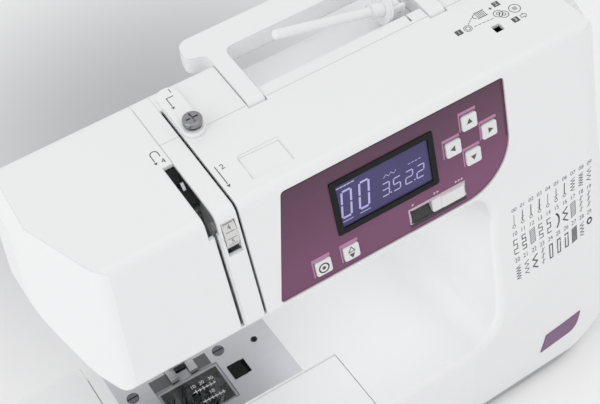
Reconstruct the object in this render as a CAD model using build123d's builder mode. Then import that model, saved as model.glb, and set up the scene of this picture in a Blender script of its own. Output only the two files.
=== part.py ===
"""A household sewing machine: casing, free arm, panel, handle and the stitching mechanism.

Millimetres. X runs along the machine to the handwheel, Y to the back and Z up.
The origin is on the table, under the middle of the machine.
"""

import os
from math import cos, radians, sin, sqrt

from build123d import *

os.makedirs("parts", exist_ok=True)

# Where the needle and the bed stand in the frame
needle_x = -110.5
needle_y = 12.0
bed_z = 82.0

# Walls and fits
wall = 2.6
gap = 0.3
running = 0.05

# Casing
foot_height = 4.0
base_z = foot_height
front_lean = 0.12
front_top = (needle_y - 52.9, bed_z + 178)
back_top = (needle_y + 62.5, bed_z + 188)
back_foot = (needle_y + 58, base_z)
front_round = 6.0
back_round = 9.0
top_slope = (back_top[1] - front_top[1]) / (back_top[0] - front_top[0])
arm_z = bed_z + 84.5
head_left = needle_x - 76
head_lean = 8.0
tower_start = needle_x + 170
tower_left = needle_x + 189
tower_lean = 37.0
tower_right = needle_x + 322
tower_front = needle_y - 79
tower_foot = needle_y - 98
tower_round = 22.0
base_round = 80.0
cove_round = 24.0
throat_round = 14.0
lip_round = 5.0
cover_split_y = needle_y + 13.5
face_x = needle_x + 33
strip_x = needle_x + 46.5
thread_slot = 1.8
bed_seam_x = needle_x + 150
arm_region_z = bed_z + 30

# Bed, free arm and extension table
bed_front = needle_y - 110.5
bed_front_foot = needle_y - 102
bed_back = needle_y + 56
bed_round = 8.0
table_seam_x = needle_x + 94
arm_left = needle_x - 57
arm_front = needle_y - 53
arm_back = needle_y + 46
arm_depth = 52.0
table_left = needle_x - 113.5
table_wall = 2.4
table_round = 18.0

# Panel on the leaning front, in its own plane from the top front corner
panel_top = -6.5
panel_bottom = -88.6
panel_left_top = 76.3
panel_left_bottom = 58.6
panel_right = 239.7
panel_corner = 38.0
panel_sink = 1.2
panel_lip = 2.0
lcd_left = 107.4
lcd_right = 183.7
lcd_top = -19.4
lcd_bottom = -61.4
lcd_rim = 4.2
button_size = 11.6
button_rise = 1.6
button_flange = 1.2
button_at = {
    "button_up": (211.2, -26.6),
    "button_down": (211.2, -54.6),
    "button_left": (197.2, -40.6),
    "button_right": (225.2, -40.6),
    "button_lock": (92.4, -77.5),
    "button_needle": (113.2, -77.5),
}
slider_left = 158.6
slider_right = 202.0
slider_top = -70.8
slider_bottom = -82.6
slider_length = 26.0
board_depth = 9.5
board_thick = 1.6

# Handle, spool recess and spool pin, in the plane of the top
handle_thick = 13.0
handle_proud = 1.5
handle_left = 94.0
handle_right = 243.4
handle_arm = 12.4
handle_front = 64.0
handle_bar = 118.0
handle_back = 141.0
handle_flare = 13.0
hinge_pin = 2.2
recess_front = 76.0
recess_step = 10.0
recess_fall = 20.0
spool_side = 12.0
spool_u = handle_right - handle_arm - spool_side
spool_w = 89.0
spool_tilt = 15.0
spool_length = 93.66
spool_radius = 3.3
spool_disc = 11.0

# Shafts
shaft_y = needle_y + 2
shaft_z = bed_z + 130
shaft_radius = 5.0
lower_y = needle_y - 6
lower_z = bed_z - 34
lower_radius = 4.0
column_x = needle_x + 242
column_thick = 6.0
timing_width = 8.0
timing_x = column_x - timing_width - 4
timing_radius = 14.0
belt_thick = 1.5
motor_x = column_x + column_thick
motor_y = needle_y + 16
motor_z = bed_z - 34
motor_radius = 27.0
motor_length = 32.0
belt_x = motor_x + motor_length + 4
belt_width = 6.0
main_pulley = 36.0
motor_pulley = 6.0
wheel_gap = 1.0
wheel_x = tower_right + wheel_gap
wheel_radius = 30.0
wheel_width = 11.5
wheel_grips = 30

# Needle, presser and hook
bar_radius = 3.6
presser_y = needle_y + 13
presser_radius = 3.2
lug_low = bed_z + 95
lug_high = bed_z + 130
lug_thick = 8.0
needle_radius = 0.8
needle_tip = bed_z + 14
clamp_z = bed_z + 48
hook_y = needle_y - 22
hook_radius = 19.0
hook_top = bed_z - 7
hook_deep = 15.0
bobbin_radius = 10.2
bobbin_height = 11.5
plate_left = needle_x - 48
plate_right = needle_x + 69
plate_front = needle_y - 51
plate_back = needle_y + 34
plate_thick = 2.4
cover_width = 47.4
cover_back = needle_y - 8.4
cover_front = needle_y - 43.0
cover_thick = 1.8

front_plane = Plane(
    origin=(needle_x, *front_top), x_dir=(1, 0, 0), z_dir=(0, -1, front_lean)
)
top_plane = Plane(
    origin=(needle_x, *front_top), x_dir=(1, 0, 0), z_dir=(0, -top_slope, 1)
)


def block(x, y, z, mode=Mode.ADD):
    """A box between the given pairs of limits."""
    with Locations([((x[0] + x[1]) / 2, (y[0] + y[1]) / 2, (z[0] + z[1]) / 2)]):
        Box(x[1] - x[0], y[1] - y[0], z[1] - z[0], mode=mode)


def rod(start, axis, radius, length, mode=Mode.ADD):
    """A cylinder that starts at a point and runs along an axis."""
    with Locations(Plane(origin=start, z_dir=axis).location):
        Cylinder(radius, length, align=(Align.CENTER, Align.CENTER, Align.MIN), mode=mode)


def outline(sketch, corners, inset=0.0):
    """A closed face through (x, y, radius) corners, drawn in by an inset."""
    Polygon(*[(x, y) for x, y, _ in corners], align=None)
    for x, y, radius in corners:
        if radius:
            fillet(sketch.vertices().sort_by_distance((x, y))[0], radius)
    if inset:
        offset(amount=-inset, kind=Kind.INTERSECTION, mode=Mode.REPLACE)


def front_at(z):
    """Depth of the leaning front at a height."""
    return front_top[0] + (z - front_top[1]) * front_lean


def tower_section(x, front, foot, inset):
    """The tower's outline across the machine, from its front at bed height and at the foot."""
    arm_front_y = front_at(arm_z) + inset
    rise = (front - foot, bed_z - base_z)
    with BuildSketch(Plane.YZ.offset(x)) as section:
        with BuildLine():
            Line((front_top[0] + inset, front_top[1]), (arm_front_y, arm_z))
            Spline((front + inset, bed_z), (arm_front_y, arm_z), tangents=[rise, (front_lean, 1)])
            Line((front + inset, bed_z), (foot + inset, base_z))
            Polyline(
                (foot + inset, base_z), back_foot, back_top, (front_top[0] + inset, front_top[1])
            )
        make_face()
    return section.sketch.face()


def upper_casing(inset):
    """Head, arm and tower as one closed form, drawn in by an inset."""
    reach = 400
    with BuildPart() as solid:
        near_end = tower_section(tower_start, bed_front, bed_front_foot, inset)
        far_end = tower_section(tower_right - inset, tower_front, tower_foot, inset)
        loft([near_end, far_end], ruled=True)
        corner = [
            edge
            for edge in solid.faces().sort_by(Axis.X)[-1].edges()
            if (edge @ 0.5).Y < front_top[0] and abs((edge % 0.5).Z) > 0.5
        ]
        fillet(corner, tower_round - inset)
        with BuildSketch(Plane.YZ.offset(needle_x - reach)) as arm:
            outline(
                arm,
                [
                    (*front_top, 0),
                    (front_at(arm_z), arm_z, 0),
                    (back_foot[0], arm_z, 0),
                    (*back_top, 0),
                ],
                inset,
            )
        extrude(amount=tower_start - needle_x + reach)
        with BuildSketch(Plane.YZ) as ridge:
            outline(
                ridge,
                [
                    (*front_top, front_round),
                    (front_at(arm_z + 20), arm_z + 20, 0),
                    (front_top[0] - reach, arm_z + 20, 0),
                    (front_top[0] - reach, base_z, 0),
                    (*back_foot, 0),
                    (*back_top, back_round),
                ],
                inset,
            )
        extrude(amount=reach, both=True, mode=Mode.INTERSECT)
        with BuildSketch(Plane.XZ) as elevation:
            outline(
                elevation,
                [
                    (needle_x - 60, arm_z, 6),
                    (head_left, bed_z + 112, 40),
                    (head_left, bed_z + 150, 30),
                    (needle_x - 57, bed_z + 198, 0),
                    (tower_right - 22, bed_z + 198, 0),
                    (tower_right, bed_z + 156, 30),
                    (tower_right, base_z, base_round),
                    (tower_start, base_z, 0),
                    (tower_start, bed_z, 0),
                    (tower_left, bed_z, cove_round),
                    (tower_left + tower_lean, arm_z, throat_round),
                ],
                inset,
            )
        extrude(amount=reach, both=True, mode=Mode.INTERSECT)
        with BuildSketch(Plane.XY.offset(front_top[1])) as plan:
            outline(
                plan,
                [
                    (head_left + head_lean, needle_y + 120, 0),
                    (head_left + head_lean, needle_y + 15, 90),
                    (needle_x - 41, front_top[0] - 1, 16),
                    (needle_x + 100, front_top[0] - 1, 0),
                    (needle_x + 100, front_top[0] - reach, 0),
                    (tower_right + 60, front_top[0] - reach, 0),
                    (tower_right + 60, needle_y + 120, 0),
                ],
                inset,
            )
        extrude(amount=reach, dir=(head_lean / 90, front_lean, 1), both=True, mode=Mode.INTERSECT)
        with BuildSketch(Plane.XY) as rear:
            outline(
                rear,
                [
                    (head_left - 1, needle_y - 160, 0),
                    (tower_right + 1, needle_y - 160, 0),
                    (tower_right + 1, needle_y + 64, 34),
                    (head_left - 1, needle_y + 64, 26),
                ],
                inset,
            )
        extrude(amount=reach, both=True, mode=Mode.INTERSECT)
    return solid.part


def bed_casing(inset):
    """The broad bed between the extension table and the tower."""
    with BuildPart() as solid:
        with BuildSketch(Plane.YZ.offset(table_seam_x + inset)) as side:
            outline(
                side,
                [
                    (bed_front, bed_z, 0),
                    (bed_front_foot, base_z, 0),
                    (bed_back, base_z, 0),
                    (bed_back, bed_z, 3),
                ],
                inset,
            )
        extrude(amount=tower_start - table_seam_x - inset)
    return solid.part


def on_lip(edge):
    """Whether an edge is part of the lip round the throat's mouth."""
    middle = edge @ 0.5
    left_of_tower = middle.X < tower_left + tower_lean
    level = bed_z - 0.1 < middle.Z < arm_z + 0.1
    return left_of_tower and level and middle.Y < front_at(arm_z) + 1


def free_arm(inset):
    """The free arm, from its left end into the broad bed."""
    with BuildPart() as solid:
        with BuildSketch(Plane.YZ) as side:
            outline(
                side,
                [
                    (arm_front, bed_z, 3),
                    (arm_front, bed_z - arm_depth, 10),
                    (arm_back, bed_z - arm_depth, 10),
                    (arm_back, bed_z, 3),
                ],
                inset,
            )
        extrude(amount=400, both=True)
        with BuildSketch(Plane.XY) as plan:
            outline(
                plan,
                [
                    (arm_left, arm_front - 1, 14),
                    (table_seam_x + 20, arm_front - 1, 0),
                    (table_seam_x + 20, arm_back + 1, 0),
                    (arm_left, arm_back + 1, 14),
                ],
                inset,
            )
        extrude(amount=400, both=True, mode=Mode.INTERSECT)
    return solid.part


def recesses(margin):
    """The hollows in the top for the handle's arms and the spool, grown by a margin."""
    with BuildPart() as solid:
        for left in (handle_left, handle_right - handle_arm):
            with BuildSketch(top_plane.offset(handle_proud - handle_thick - 0.8 - margin)):
                with Locations([(left + handle_arm / 2, handle_front - 0.6 - margin)]):
                    Rectangle(
                        handle_arm + 2 * (0.5 + margin), 200, align=(Align.CENTER, Align.MIN)
                    )
            extrude(amount=60)
        across = Plane(
            origin=top_plane.from_local_coords(Vector(handle_left + handle_arm - margin, 0, 0)),
            x_dir=top_plane.y_dir,
            z_dir=(1, 0, 0),
        )
        with BuildSketch(across) as side:
            outline(
                side,
                [
                    (recess_front - margin, 30, 0),
                    (recess_front - margin, -1 - margin, 0),
                    (recess_front + 3 - margin, -recess_step - margin, 0),
                    (handle_bar, -recess_fall - margin, 0),
                    (200, -recess_fall - margin, 0),
                    (200, 30, 0),
                ],
            )
        extrude(amount=handle_right - handle_left - 2 * handle_arm + 2 * margin)
    return solid.part


def keep(part, *regions):
    """The piece of a part that lies in any of the given boxes."""
    with BuildPart(mode=Mode.PRIVATE) as zone:
        for x, y, z in regions:
            block(x, y, z)
    with BuildPart(mode=Mode.PRIVATE) as piece:
        add(part)
        add(zone.part, mode=Mode.INTERSECT)
    return piece.part


def save(piece, name):
    """Names a piece and writes it."""
    piece.part.label = name
    export_step(piece.part, f"parts/{name}.step")


def on_top(u, w, rise=0.0):
    """A point on the top, from its front corner at the needle."""
    return top_plane.from_local_coords(Vector(u, w, rise))


def belt(x, width, near, near_radius, far, far_radius):
    """A flat belt round two pulleys whose shafts run along X, as (y, z) centres."""
    inner = (near_radius + gap, far_radius + gap)
    with BuildPart(mode=Mode.PRIVATE) as loop:
        for grow, mode in ((belt_thick, Mode.ADD), (0.0, Mode.SUBTRACT)):
            with BuildSketch(Plane.YZ.offset(x)):
                for centre, radius in ((near, inner[0]), (far, inner[1])):
                    with Locations([centre]):
                        Circle(radius + grow)
                make_hull()
            extrude(amount=width, mode=mode)
    return loop.part


far = 600.0
everywhere = (-far, far)

# The casing as one hollow form, parted below into its mouldings
with BuildPart() as hollow:
    add(upper_casing(wall))
    add(bed_casing(wall))
    add(free_arm(wall))
    block(
        (tower_start - wall, tower_start + 2 * wall),
        (needle_y - 60, bed_back - wall),
        (base_z + wall, bed_z - wall),
    )
    add(recesses(wall), mode=Mode.SUBTRACT)

with BuildPart() as shell:
    add(upper_casing(0))
    add(bed_casing(0))
    fillet(shell.edges().filter_by(on_lip), lip_round)
    add(free_arm(0))
    add(recesses(0), mode=Mode.SUBTRACT)
    add(hollow.part, mode=Mode.SUBTRACT)

floor_z = base_z + wall
above = (arm_region_z, far)
below = (floor_z, arm_region_z)
before = (-far, cover_split_y)
behind = (cover_split_y, far)

# Face cover: the left end of the head, with the take-up slot and the presser lever's slot
take_up_x = face_x - 3.4
take_up_slot = 7.0
slot_back = needle_y - 2
lever_x = needle_x + 9
lever_width = 8.0
lamp_x = (needle_x - 46, needle_x - 32)
lamp_y = (needle_y - 12, needle_y + 12)

with BuildPart() as face_cover:
    add(keep(shell.part, ((-far, face_x), everywhere, above)))
    block(
        (face_x - take_up_slot, face_x),
        (-far, slot_back),
        (front_top[1] - 14, far),
        mode=Mode.SUBTRACT,
    )
    block(
        (take_up_x, take_up_x + 2.2),
        (-far, needle_y - 30),
        (arm_z + 2 * wall, front_top[1]),
        mode=Mode.SUBTRACT,
    )
    block(
        (needle_x - 27, needle_x + 27),
        (needle_y - 22, needle_y + 46),
        (arm_z - 1, arm_z + wall + 1),
        mode=Mode.SUBTRACT,
    )
    block(
        (lever_x - lever_width / 2 - 2, lever_x + lever_width / 2 + 2),
        (needle_y + 44, far),
        (arm_z - 1, arm_z + 40),
        mode=Mode.SUBTRACT,
    )
    block(lamp_x, lamp_y, (arm_z - 1, arm_z + wall + 1), mode=Mode.SUBTRACT)
save(face_cover, "face_cover")

# Lamp set in the head's underside
with BuildPart() as lamp:
    block(lamp_x, lamp_y, (arm_z - 0.6, arm_z + 5))
save(lamp, "lamp")

# Thread strip between the two slots, with the tension dial's window and stud
dial_radius = 16.0
dial_proud = 1.2
dial_z = bed_z + 158
dial_y = front_at(dial_z) - dial_proud + dial_radius
dial_left = face_x + 2.5
dial_width = 8.5
dial_stud = 3.0
dial_window = 12.6
dial_web = strip_x - 2.1

with BuildPart() as thread_strip:
    add(keep(shell.part, ((face_x, strip_x), everywhere, above)))
    block(
        (dial_left - 0.4, dial_left + dial_width + 0.4),
        (-far, dial_y - 4),
        (dial_z - dial_window, dial_z + dial_window),
        mode=Mode.SUBTRACT,
    )
    block(
        (dial_web, strip_x),
        (front_at(dial_z) + 2.2, dial_y + 8),
        (dial_z - dial_window, dial_z + dial_window),
    )
    rod((dial_left - 1, dial_y, dial_z), (1, 0, 0), dial_stud, dial_web - dial_left + 1.5)
save(thread_strip, "thread_strip")

# Tension dial: a numbered wheel on the strip's stud
with BuildPart() as tension_dial:
    rod((dial_left, dial_y, dial_z), (1, 0, 0), dial_radius, dial_width)
    rod((dial_left, dial_y, dial_z), (1, 0, 0), dial_stud + running, dial_width, mode=Mode.SUBTRACT)
save(tension_dial, "tension_dial")

# Panel outline, shared by the front cover's opening and the panel
panel_corners = [
    (panel_left_top, panel_top, 3),
    (panel_left_bottom, panel_bottom, 3),
    (panel_right, panel_bottom, panel_corner),
    (panel_right, panel_top, 3),
]
panel_back = wall + 1.4

# Sockets and switch on the right end
socket_y = (needle_y - 24, needle_y + 9)
socket_z = (base_z + base_round + 4, base_z + base_round + 36)
socket_x = (tower_right - 20, tower_right - 0.6)
switch_y = (needle_y - 16, needle_y + 2)
switch_z = (socket_z[1] + 6, socket_z[1] + 20)
switch_gap = 0.5
switch_axis = (tower_right - 5.5, sum(switch_z) / 2)
switch_pin = 1.5
switch_lug = 3.0

# Front cover: arm, tower and bed front
thread_x = (strip_x, strip_x + thread_slot)
thread_end = needle_y + 41
label_u = (66.4, 95.4)
label_w = (11.5, 33.5)
label_deep = 0.7
hub_radius = 11.0
pin_hole = (259.6, 30.7)

with BuildPart() as front_cover:
    add(
        keep(
            shell.part,
            ((strip_x, far), before, above),
            ((bed_seam_x, far), before, below),
        )
    )
    block(thread_x, (-far, thread_end), (arm_z + 2 * wall, far), mode=Mode.SUBTRACT)
    with BuildSketch(front_plane.offset(4)) as opening:
        outline(opening, panel_corners)
    extrude(amount=-4 - wall - 2, mode=Mode.SUBTRACT)
    with BuildSketch(top_plane.offset(-label_deep)):
        with Locations([(sum(label_u) / 2, sum(label_w) / 2)]):
            RectangleRounded(label_u[1] - label_u[0], label_w[1] - label_w[0], 2)
    extrude(amount=4, mode=Mode.SUBTRACT)
    with BuildSketch(top_plane):
        with Locations([pin_hole]):
            Rectangle(6.5, 6.5)
    extrude(amount=20, both=True, mode=Mode.SUBTRACT)
    rod((tower_right - 20, shaft_y, shaft_z), (1, 0, 0), hub_radius, 40, mode=Mode.SUBTRACT)
    for window_y, window_z in ((socket_y, socket_z), (switch_y, switch_z)):
        block((socket_x[0], tower_right + 5), window_y, window_z, mode=Mode.SUBTRACT)
    for y in (switch_y[0] - switch_lug, switch_y[1]):
        block(
            (switch_axis[0] - 4, tower_right - wall / 2),
            (y, y + switch_lug),
            (switch_axis[1] - 4, switch_axis[1] + 4),
        )
    rod(
        (switch_axis[0], switch_y[0] - switch_lug, switch_axis[1]),
        (0, 1, 0),
        switch_pin + running,
        switch_y[1] - switch_y[0] + 2 * switch_lug,
        mode=Mode.SUBTRACT,
    )
save(front_cover, "front_cover")

# Rear cover: back of the arm and tower, with the handle pockets and the spool recess
pivot_w = handle_front + handle_thick / 2
pivot_rise = handle_proud - handle_thick / 2
ear_gap = 7.4
ear_thick = 2.7
trunnion = 1.6
spool_rise = -1.5
winder_u = 262.0
winder_disc = 9.0
winder_clear = 1.351
winder_w = (cover_split_y - front_top[0]) * sqrt(1 + top_slope**2) + winder_disc + winder_clear
winder_post = 6.0
winder_travel = 4.0

with BuildPart() as rear_cover:
    add(
        keep(
            shell.part,
            ((strip_x, far), behind, above),
            ((bed_seam_x, far), behind, below),
        )
    )
    block(thread_x, (-far, thread_end), (arm_z + 2 * wall, far), mode=Mode.SUBTRACT)
    rod((tower_right - 20, shaft_y, shaft_z), (1, 0, 0), hub_radius, 40, mode=Mode.SUBTRACT)
    for left in (handle_left, handle_right - handle_arm):
        rod(
            on_top(left - 0.5 - wall, pivot_w, pivot_rise),
            (1, 0, 0),
            hinge_pin,
            handle_arm + 1 + 2 * wall,
            mode=Mode.SUBTRACT,
        )
    for side in (-1, 1):
        with BuildSketch(top_plane.offset(-recess_fall)):
            with Locations([(spool_u, spool_w + side * (ear_gap + ear_thick) / 2)]):
                Rectangle(9, ear_thick)
        extrude(amount=recess_fall + spool_rise + 4)
    rod(
        on_top(spool_u, spool_w - 20, spool_rise),
        top_plane.y_dir,
        trunnion + running,
        40,
        mode=Mode.SUBTRACT,
    )
    with BuildSketch(top_plane):
        with Locations([(winder_u + winder_travel / 2, winder_w)]):
            SlotCenterToCenter(winder_travel, 2 * (winder_post + gap))
    extrude(amount=20, both=True, mode=Mode.SUBTRACT)
save(rear_cover, "rear_cover")

# Bed: the free arm with its seat for the needle plate, and the broad bed beside it
seat_lip = 4.0
seat_deep = 5.0
screw_at = [(needle_x + 29.5, needle_y - 0.9), (needle_x - 38, needle_y - 1.5)]
plate_screw = 2.0
drop_x = (needle_x + 20, needle_x + 46)
drop_z = (bed_z - 20, bed_z - 12)

with BuildPart() as plate_seat:
    block(
        (arm_left + 1.5, plate_right + 6),
        (arm_front + 1.5, arm_back - 1.5),
        (bed_z - seat_deep, bed_z - plate_thick),
    )
    block(
        (plate_left + seat_lip, plate_right - seat_lip),
        (plate_front + seat_lip, plate_back - seat_lip),
        (bed_z - 10, bed_z),
        mode=Mode.SUBTRACT,
    )
    for x, y in screw_at:
        block((x - 4.5, x + 4.5), (y - 5, arm_back - 1.5), (bed_z - 9, bed_z - plate_thick))
    for x, y in screw_at:
        rod((x, y, bed_z - 12), (0, 0, 1), plate_screw, 20, mode=Mode.SUBTRACT)
    add(free_arm(1.0), mode=Mode.INTERSECT)

with BuildPart() as bed:
    add(keep(shell.part, ((-far, bed_seam_x), everywhere, below)))
    block(
        (plate_left, plate_right),
        (plate_front, plate_back),
        (bed_z - wall - 1, bed_z + 1),
        mode=Mode.SUBTRACT,
    )
    add(plate_seat.part)
    block(drop_x, (arm_back - 2 * wall, arm_back + 1), drop_z, mode=Mode.SUBTRACT)
save(bed, "bed")

# Base screws, four alike, into the frame's foot
frame_foot = 5.0
frame_foot_x = (column_x - 42, tower_right - base_round)
screw_xs = (frame_foot_x[0] + 6, frame_foot_x[1] - 6)
screw_ys = (needle_y - 26, needle_y + 24)

with BuildPart() as base_screws:
    for x in screw_xs:
        for y in screw_ys:
            rod((x, y, base_z), (0, 0, 1), 3.6, 1.4)
            rod((x, y, base_z), (0, 0, 1), 1.8, wall + frame_foot)
save(base_screws, "base_screws")

# Rubber feet, six alike, plugged into the base plate
foot_radius = 9.0
foot_right = tower_right - base_round - foot_radius - 3

with BuildPart() as feet:
    for x, y in [
        (arm_left + 16, needle_y - 36),
        (arm_left + 16, needle_y + 30),
        (table_seam_x + 14, needle_y - 88),
        (table_seam_x + 14, needle_y + 42),
        (foot_right, needle_y - 62),
        (foot_right, needle_y + 44),
    ]:
        rod((x, y, 0), (0, 0, 1), foot_radius, foot_height)
        rod((x, y, base_z), (0, 0, 1), 3.0, 2.0)
save(feet, "feet")

# Base plate under the bed and tower, with a tongue that reaches left below the free arm
tongue_y = (needle_y - 48, needle_y + 42)
tongue_thick = 10.0

with BuildPart() as base_plate:
    add(keep(shell.part, (everywhere, everywhere, (0, floor_z))))
    block((arm_left + 4, table_seam_x + 1), tongue_y, (base_z, floor_z))
    block((arm_left + 4, table_seam_x - gap), tongue_y, (base_z, base_z + tongue_thick))
    add(base_screws.part, mode=Mode.SUBTRACT)
    add(feet.part, mode=Mode.SUBTRACT)
save(base_plate, "base_plate")

# Control panel: a coloured plate sunk in the front, with openings for display, keys and slider
with BuildPart() as control_panel:
    with BuildSketch(front_plane.offset(-panel_sink)) as face:
        outline(face, panel_corners, 0.15)
    extrude(amount=panel_sink - panel_back)
    with BuildSketch(front_plane.offset(-wall)) as lip:
        outline(
            lip,
            [
                (panel_left_top - panel_lip, panel_top - 0.15, 3),
                (panel_left_bottom - panel_lip, panel_bottom - panel_lip, 3),
                (panel_right + panel_lip, panel_bottom - panel_lip, panel_corner),
                (panel_right + panel_lip, panel_top - 0.15, 3),
            ],
        )
    extrude(amount=wall - panel_back)
    with BuildSketch(front_plane):
        with Locations([((lcd_left + lcd_right) / 2, (lcd_top + lcd_bottom) / 2)]):
            Rectangle(lcd_right - lcd_left, lcd_top - lcd_bottom)
        with Locations(list(button_at.values())):
            RectangleRounded(button_size + 2 * gap, button_size + 2 * gap, 2)
        with Locations([((slider_left + slider_right) / 2, (slider_top + slider_bottom) / 2)]):
            RectangleRounded(slider_right - slider_left, slider_top - slider_bottom, 2)
    extrude(amount=-20, mode=Mode.SUBTRACT)
save(control_panel, "control_panel")

# Display: a black bezel with the screen behind its window
lcd_centre = ((lcd_left + lcd_right) / 2, (lcd_top + lcd_bottom) / 2)
lcd_size = (lcd_right - lcd_left, lcd_top - lcd_bottom)
screen_size = (lcd_size[0] - 2 * lcd_rim, lcd_size[1] - 2 * lcd_rim)
screen_sink = 1.6

with BuildPart() as lcd_bezel:
    with BuildSketch(front_plane.offset(0.8 - panel_sink)):
        with Locations([lcd_centre]):
            RectangleRounded(*lcd_size, 2)
    extrude(amount=-6)
    with BuildSketch(front_plane.offset(4)):
        with Locations([lcd_centre]):
            Rectangle(*screen_size)
    extrude(amount=-14, mode=Mode.SUBTRACT)
save(lcd_bezel, "lcd_bezel")

with BuildPart() as lcd_screen:
    with BuildSketch(front_plane.offset(-screen_sink)):
        with Locations([lcd_centre]):
            Rectangle(*screen_size)
    extrude(amount=-2.4)
save(lcd_screen, "lcd_screen")

# Keys: square caps that a flange holds behind the panel
flange_depth = panel_back + gap
key_round = 0.7
outward = Axis((0, 0, 0), front_plane.z_dir)
for name, place in button_at.items():
    with BuildPart() as button:
        with BuildSketch(front_plane.offset(button_rise - panel_sink)):
            with Locations([place]):
                RectangleRounded(button_size, button_size, 1.7)
        extrude(amount=panel_sink - button_rise - flange_depth)
        with BuildSketch(front_plane.offset(-flange_depth)):
            with Locations([place]):
                Rectangle(button_size + 2, button_size + 2)
        extrude(amount=-button_flange)
        fillet(button.faces().sort_by(outward)[-1].edges(), key_round)
    save(button, name)

# Speed slider, at the fast end of its slot
with BuildPart() as speed_slider:
    slider_place = (slider_right - gap - slider_length / 2, (slider_top + slider_bottom) / 2)
    with BuildSketch(front_plane.offset(1.0 - panel_sink)):
        with Locations([slider_place]):
            RectangleRounded(slider_length, slider_top - slider_bottom - 2 * gap, 1.7)
    extrude(amount=panel_sink - 1.0 - flange_depth)
    with BuildSketch(front_plane.offset(-flange_depth)):
        with Locations([slider_place]):
            Rectangle(slider_length, slider_top - slider_bottom + 3)
    extrude(amount=-button_flange)
    fillet(speed_slider.faces().sort_by(outward)[-1].edges(), key_round)
save(speed_slider, "speed_slider")

# Control board on four posts behind the panel
with BuildPart() as control_board:
    with BuildSketch(front_plane.offset(-board_depth)):
        with Locations([((lcd_left + lcd_right) / 2 + 12, (panel_top + panel_bottom) / 2)]):
            Rectangle(150, 74)
    extrude(amount=-board_thick)
    with BuildSketch(front_plane.offset(-board_depth)):
        with Locations([(101, -15), (101, -64), (187, -15), (187, -65)]):
            Circle(2.4)
    extrude(amount=board_depth - panel_back)
save(control_board, "control_board")

# Carrying handle, folded back, on two pins
handle_width = handle_right - handle_left
with BuildPart() as handle:
    with BuildSketch(top_plane.offset(handle_proud)) as grip:
        outline(
            grip,
            [
                (handle_left, handle_front, 0),
                (handle_left, handle_bar + 1, 6),
                (handle_left - handle_flare, handle_bar + 5, 6),
                (handle_left - handle_flare + 2, handle_back, 9),
                (handle_right + handle_flare - 2, handle_back, 9),
                (handle_right + handle_flare, handle_bar + 5, 6),
                (handle_right, handle_bar + 1, 6),
                (handle_right, handle_front, 0),
                (handle_right - handle_arm, handle_front, 0),
                (handle_right - handle_arm, handle_bar, 6),
                (handle_left + handle_arm, handle_bar, 6),
                (handle_left + handle_arm, handle_front, 0),
            ],
        )
    extrude(amount=-handle_thick)
    ends = handle.edges().filter_by(Axis.X).sort_by(Axis.Y)[:4]
    fillet(ends, handle_thick / 2 - 0.1)
    rod(
        on_top(handle_left - 20, pivot_w, pivot_rise),
        (1, 0, 0),
        hinge_pin + running,
        handle_width + 40,
        mode=Mode.SUBTRACT,
    )
save(handle, "handle")

with BuildPart() as handle_pins:
    for left in (handle_left, handle_right - handle_arm):
        rod(
            on_top(left - 0.5 - wall, pivot_w, pivot_rise),
            (1, 0, 0),
            hinge_pin,
            handle_arm + 1 + 2 * wall,
        )
save(handle_pins, "handle_pins")

# Spool pin with its disc, lifting on trunnions between two ears in the recess
spool_axis = Vector(-cos(radians(spool_tilt)), 0, 0) + top_plane.z_dir * sin(radians(spool_tilt))
spool_base = on_top(spool_u, spool_w, spool_rise)

with BuildPart() as spool_pin:
    rod(
        on_top(spool_u, spool_w - ear_gap / 2 + gap, spool_rise),
        top_plane.y_dir,
        4.2,
        ear_gap - 2 * gap,
    )
    rod(
        on_top(spool_u, spool_w - ear_gap / 2 - ear_thick, spool_rise),
        top_plane.y_dir,
        trunnion,
        ear_gap + 2 * ear_thick,
    )
    rod(spool_base, spool_axis, spool_radius, spool_length)
    rod(spool_base + spool_axis * 8, spool_axis, spool_disc, 2.4)
    rod(spool_base + spool_axis * 8, spool_axis, 5.0, 12)
    tip = spool_pin.edges().sort_by(Axis(spool_base, spool_axis))[-1]
    fillet(tip, spool_radius * 0.7)
save(spool_pin, "spool_pin")

# Thread guide block on the top, with a turned stud
guide_u = (49.0, 64.4)
guide_w = (60.5, 108.5)
guide_rise = 3.0
upward = Axis((0, 0, 0), top_plane.z_dir)
stud_at = (57.4, 69.2)

with BuildPart() as thread_guide:
    with BuildSketch(top_plane):
        with Locations([(sum(guide_u) / 2, sum(guide_w) / 2)]):
            RectangleRounded(guide_u[1] - guide_u[0], guide_w[1] - guide_w[0], 7.5)
    extrude(amount=guide_rise)
    fillet(thread_guide.faces().sort_by(upward)[-1].edges(), guide_rise / 2)
save(thread_guide, "thread_guide")

# Stud: flange, neck and head, with a cross slot
stud_head = 6.4
stud_flange = 1.0
stud_neck = 1.6
stud_cap = 3.6
stud_slot = 1.3

with BuildPart() as guide_stud:
    rod(on_top(*stud_at, guide_rise), top_plane.z_dir, stud_head - 0.8, stud_flange)
    rod(on_top(*stud_at, guide_rise + stud_flange), top_plane.z_dir, stud_head - 2.4, stud_neck)
    rod(on_top(*stud_at, guide_rise + stud_flange + stud_neck), top_plane.z_dir, stud_head, stud_cap)
    fillet(guide_stud.faces().sort_by(upward)[-1].edges(), 1.2)
    with BuildSketch(top_plane.offset(guide_rise + stud_flange + stud_neck + stud_cap)):
        with Locations([stud_at]):
            Rectangle(1.3 * stud_head, stud_slot)
            Rectangle(stud_slot, 1.3 * stud_head)
    extrude(amount=-stud_slot, mode=Mode.SUBTRACT)
save(guide_stud, "guide_stud")

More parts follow.
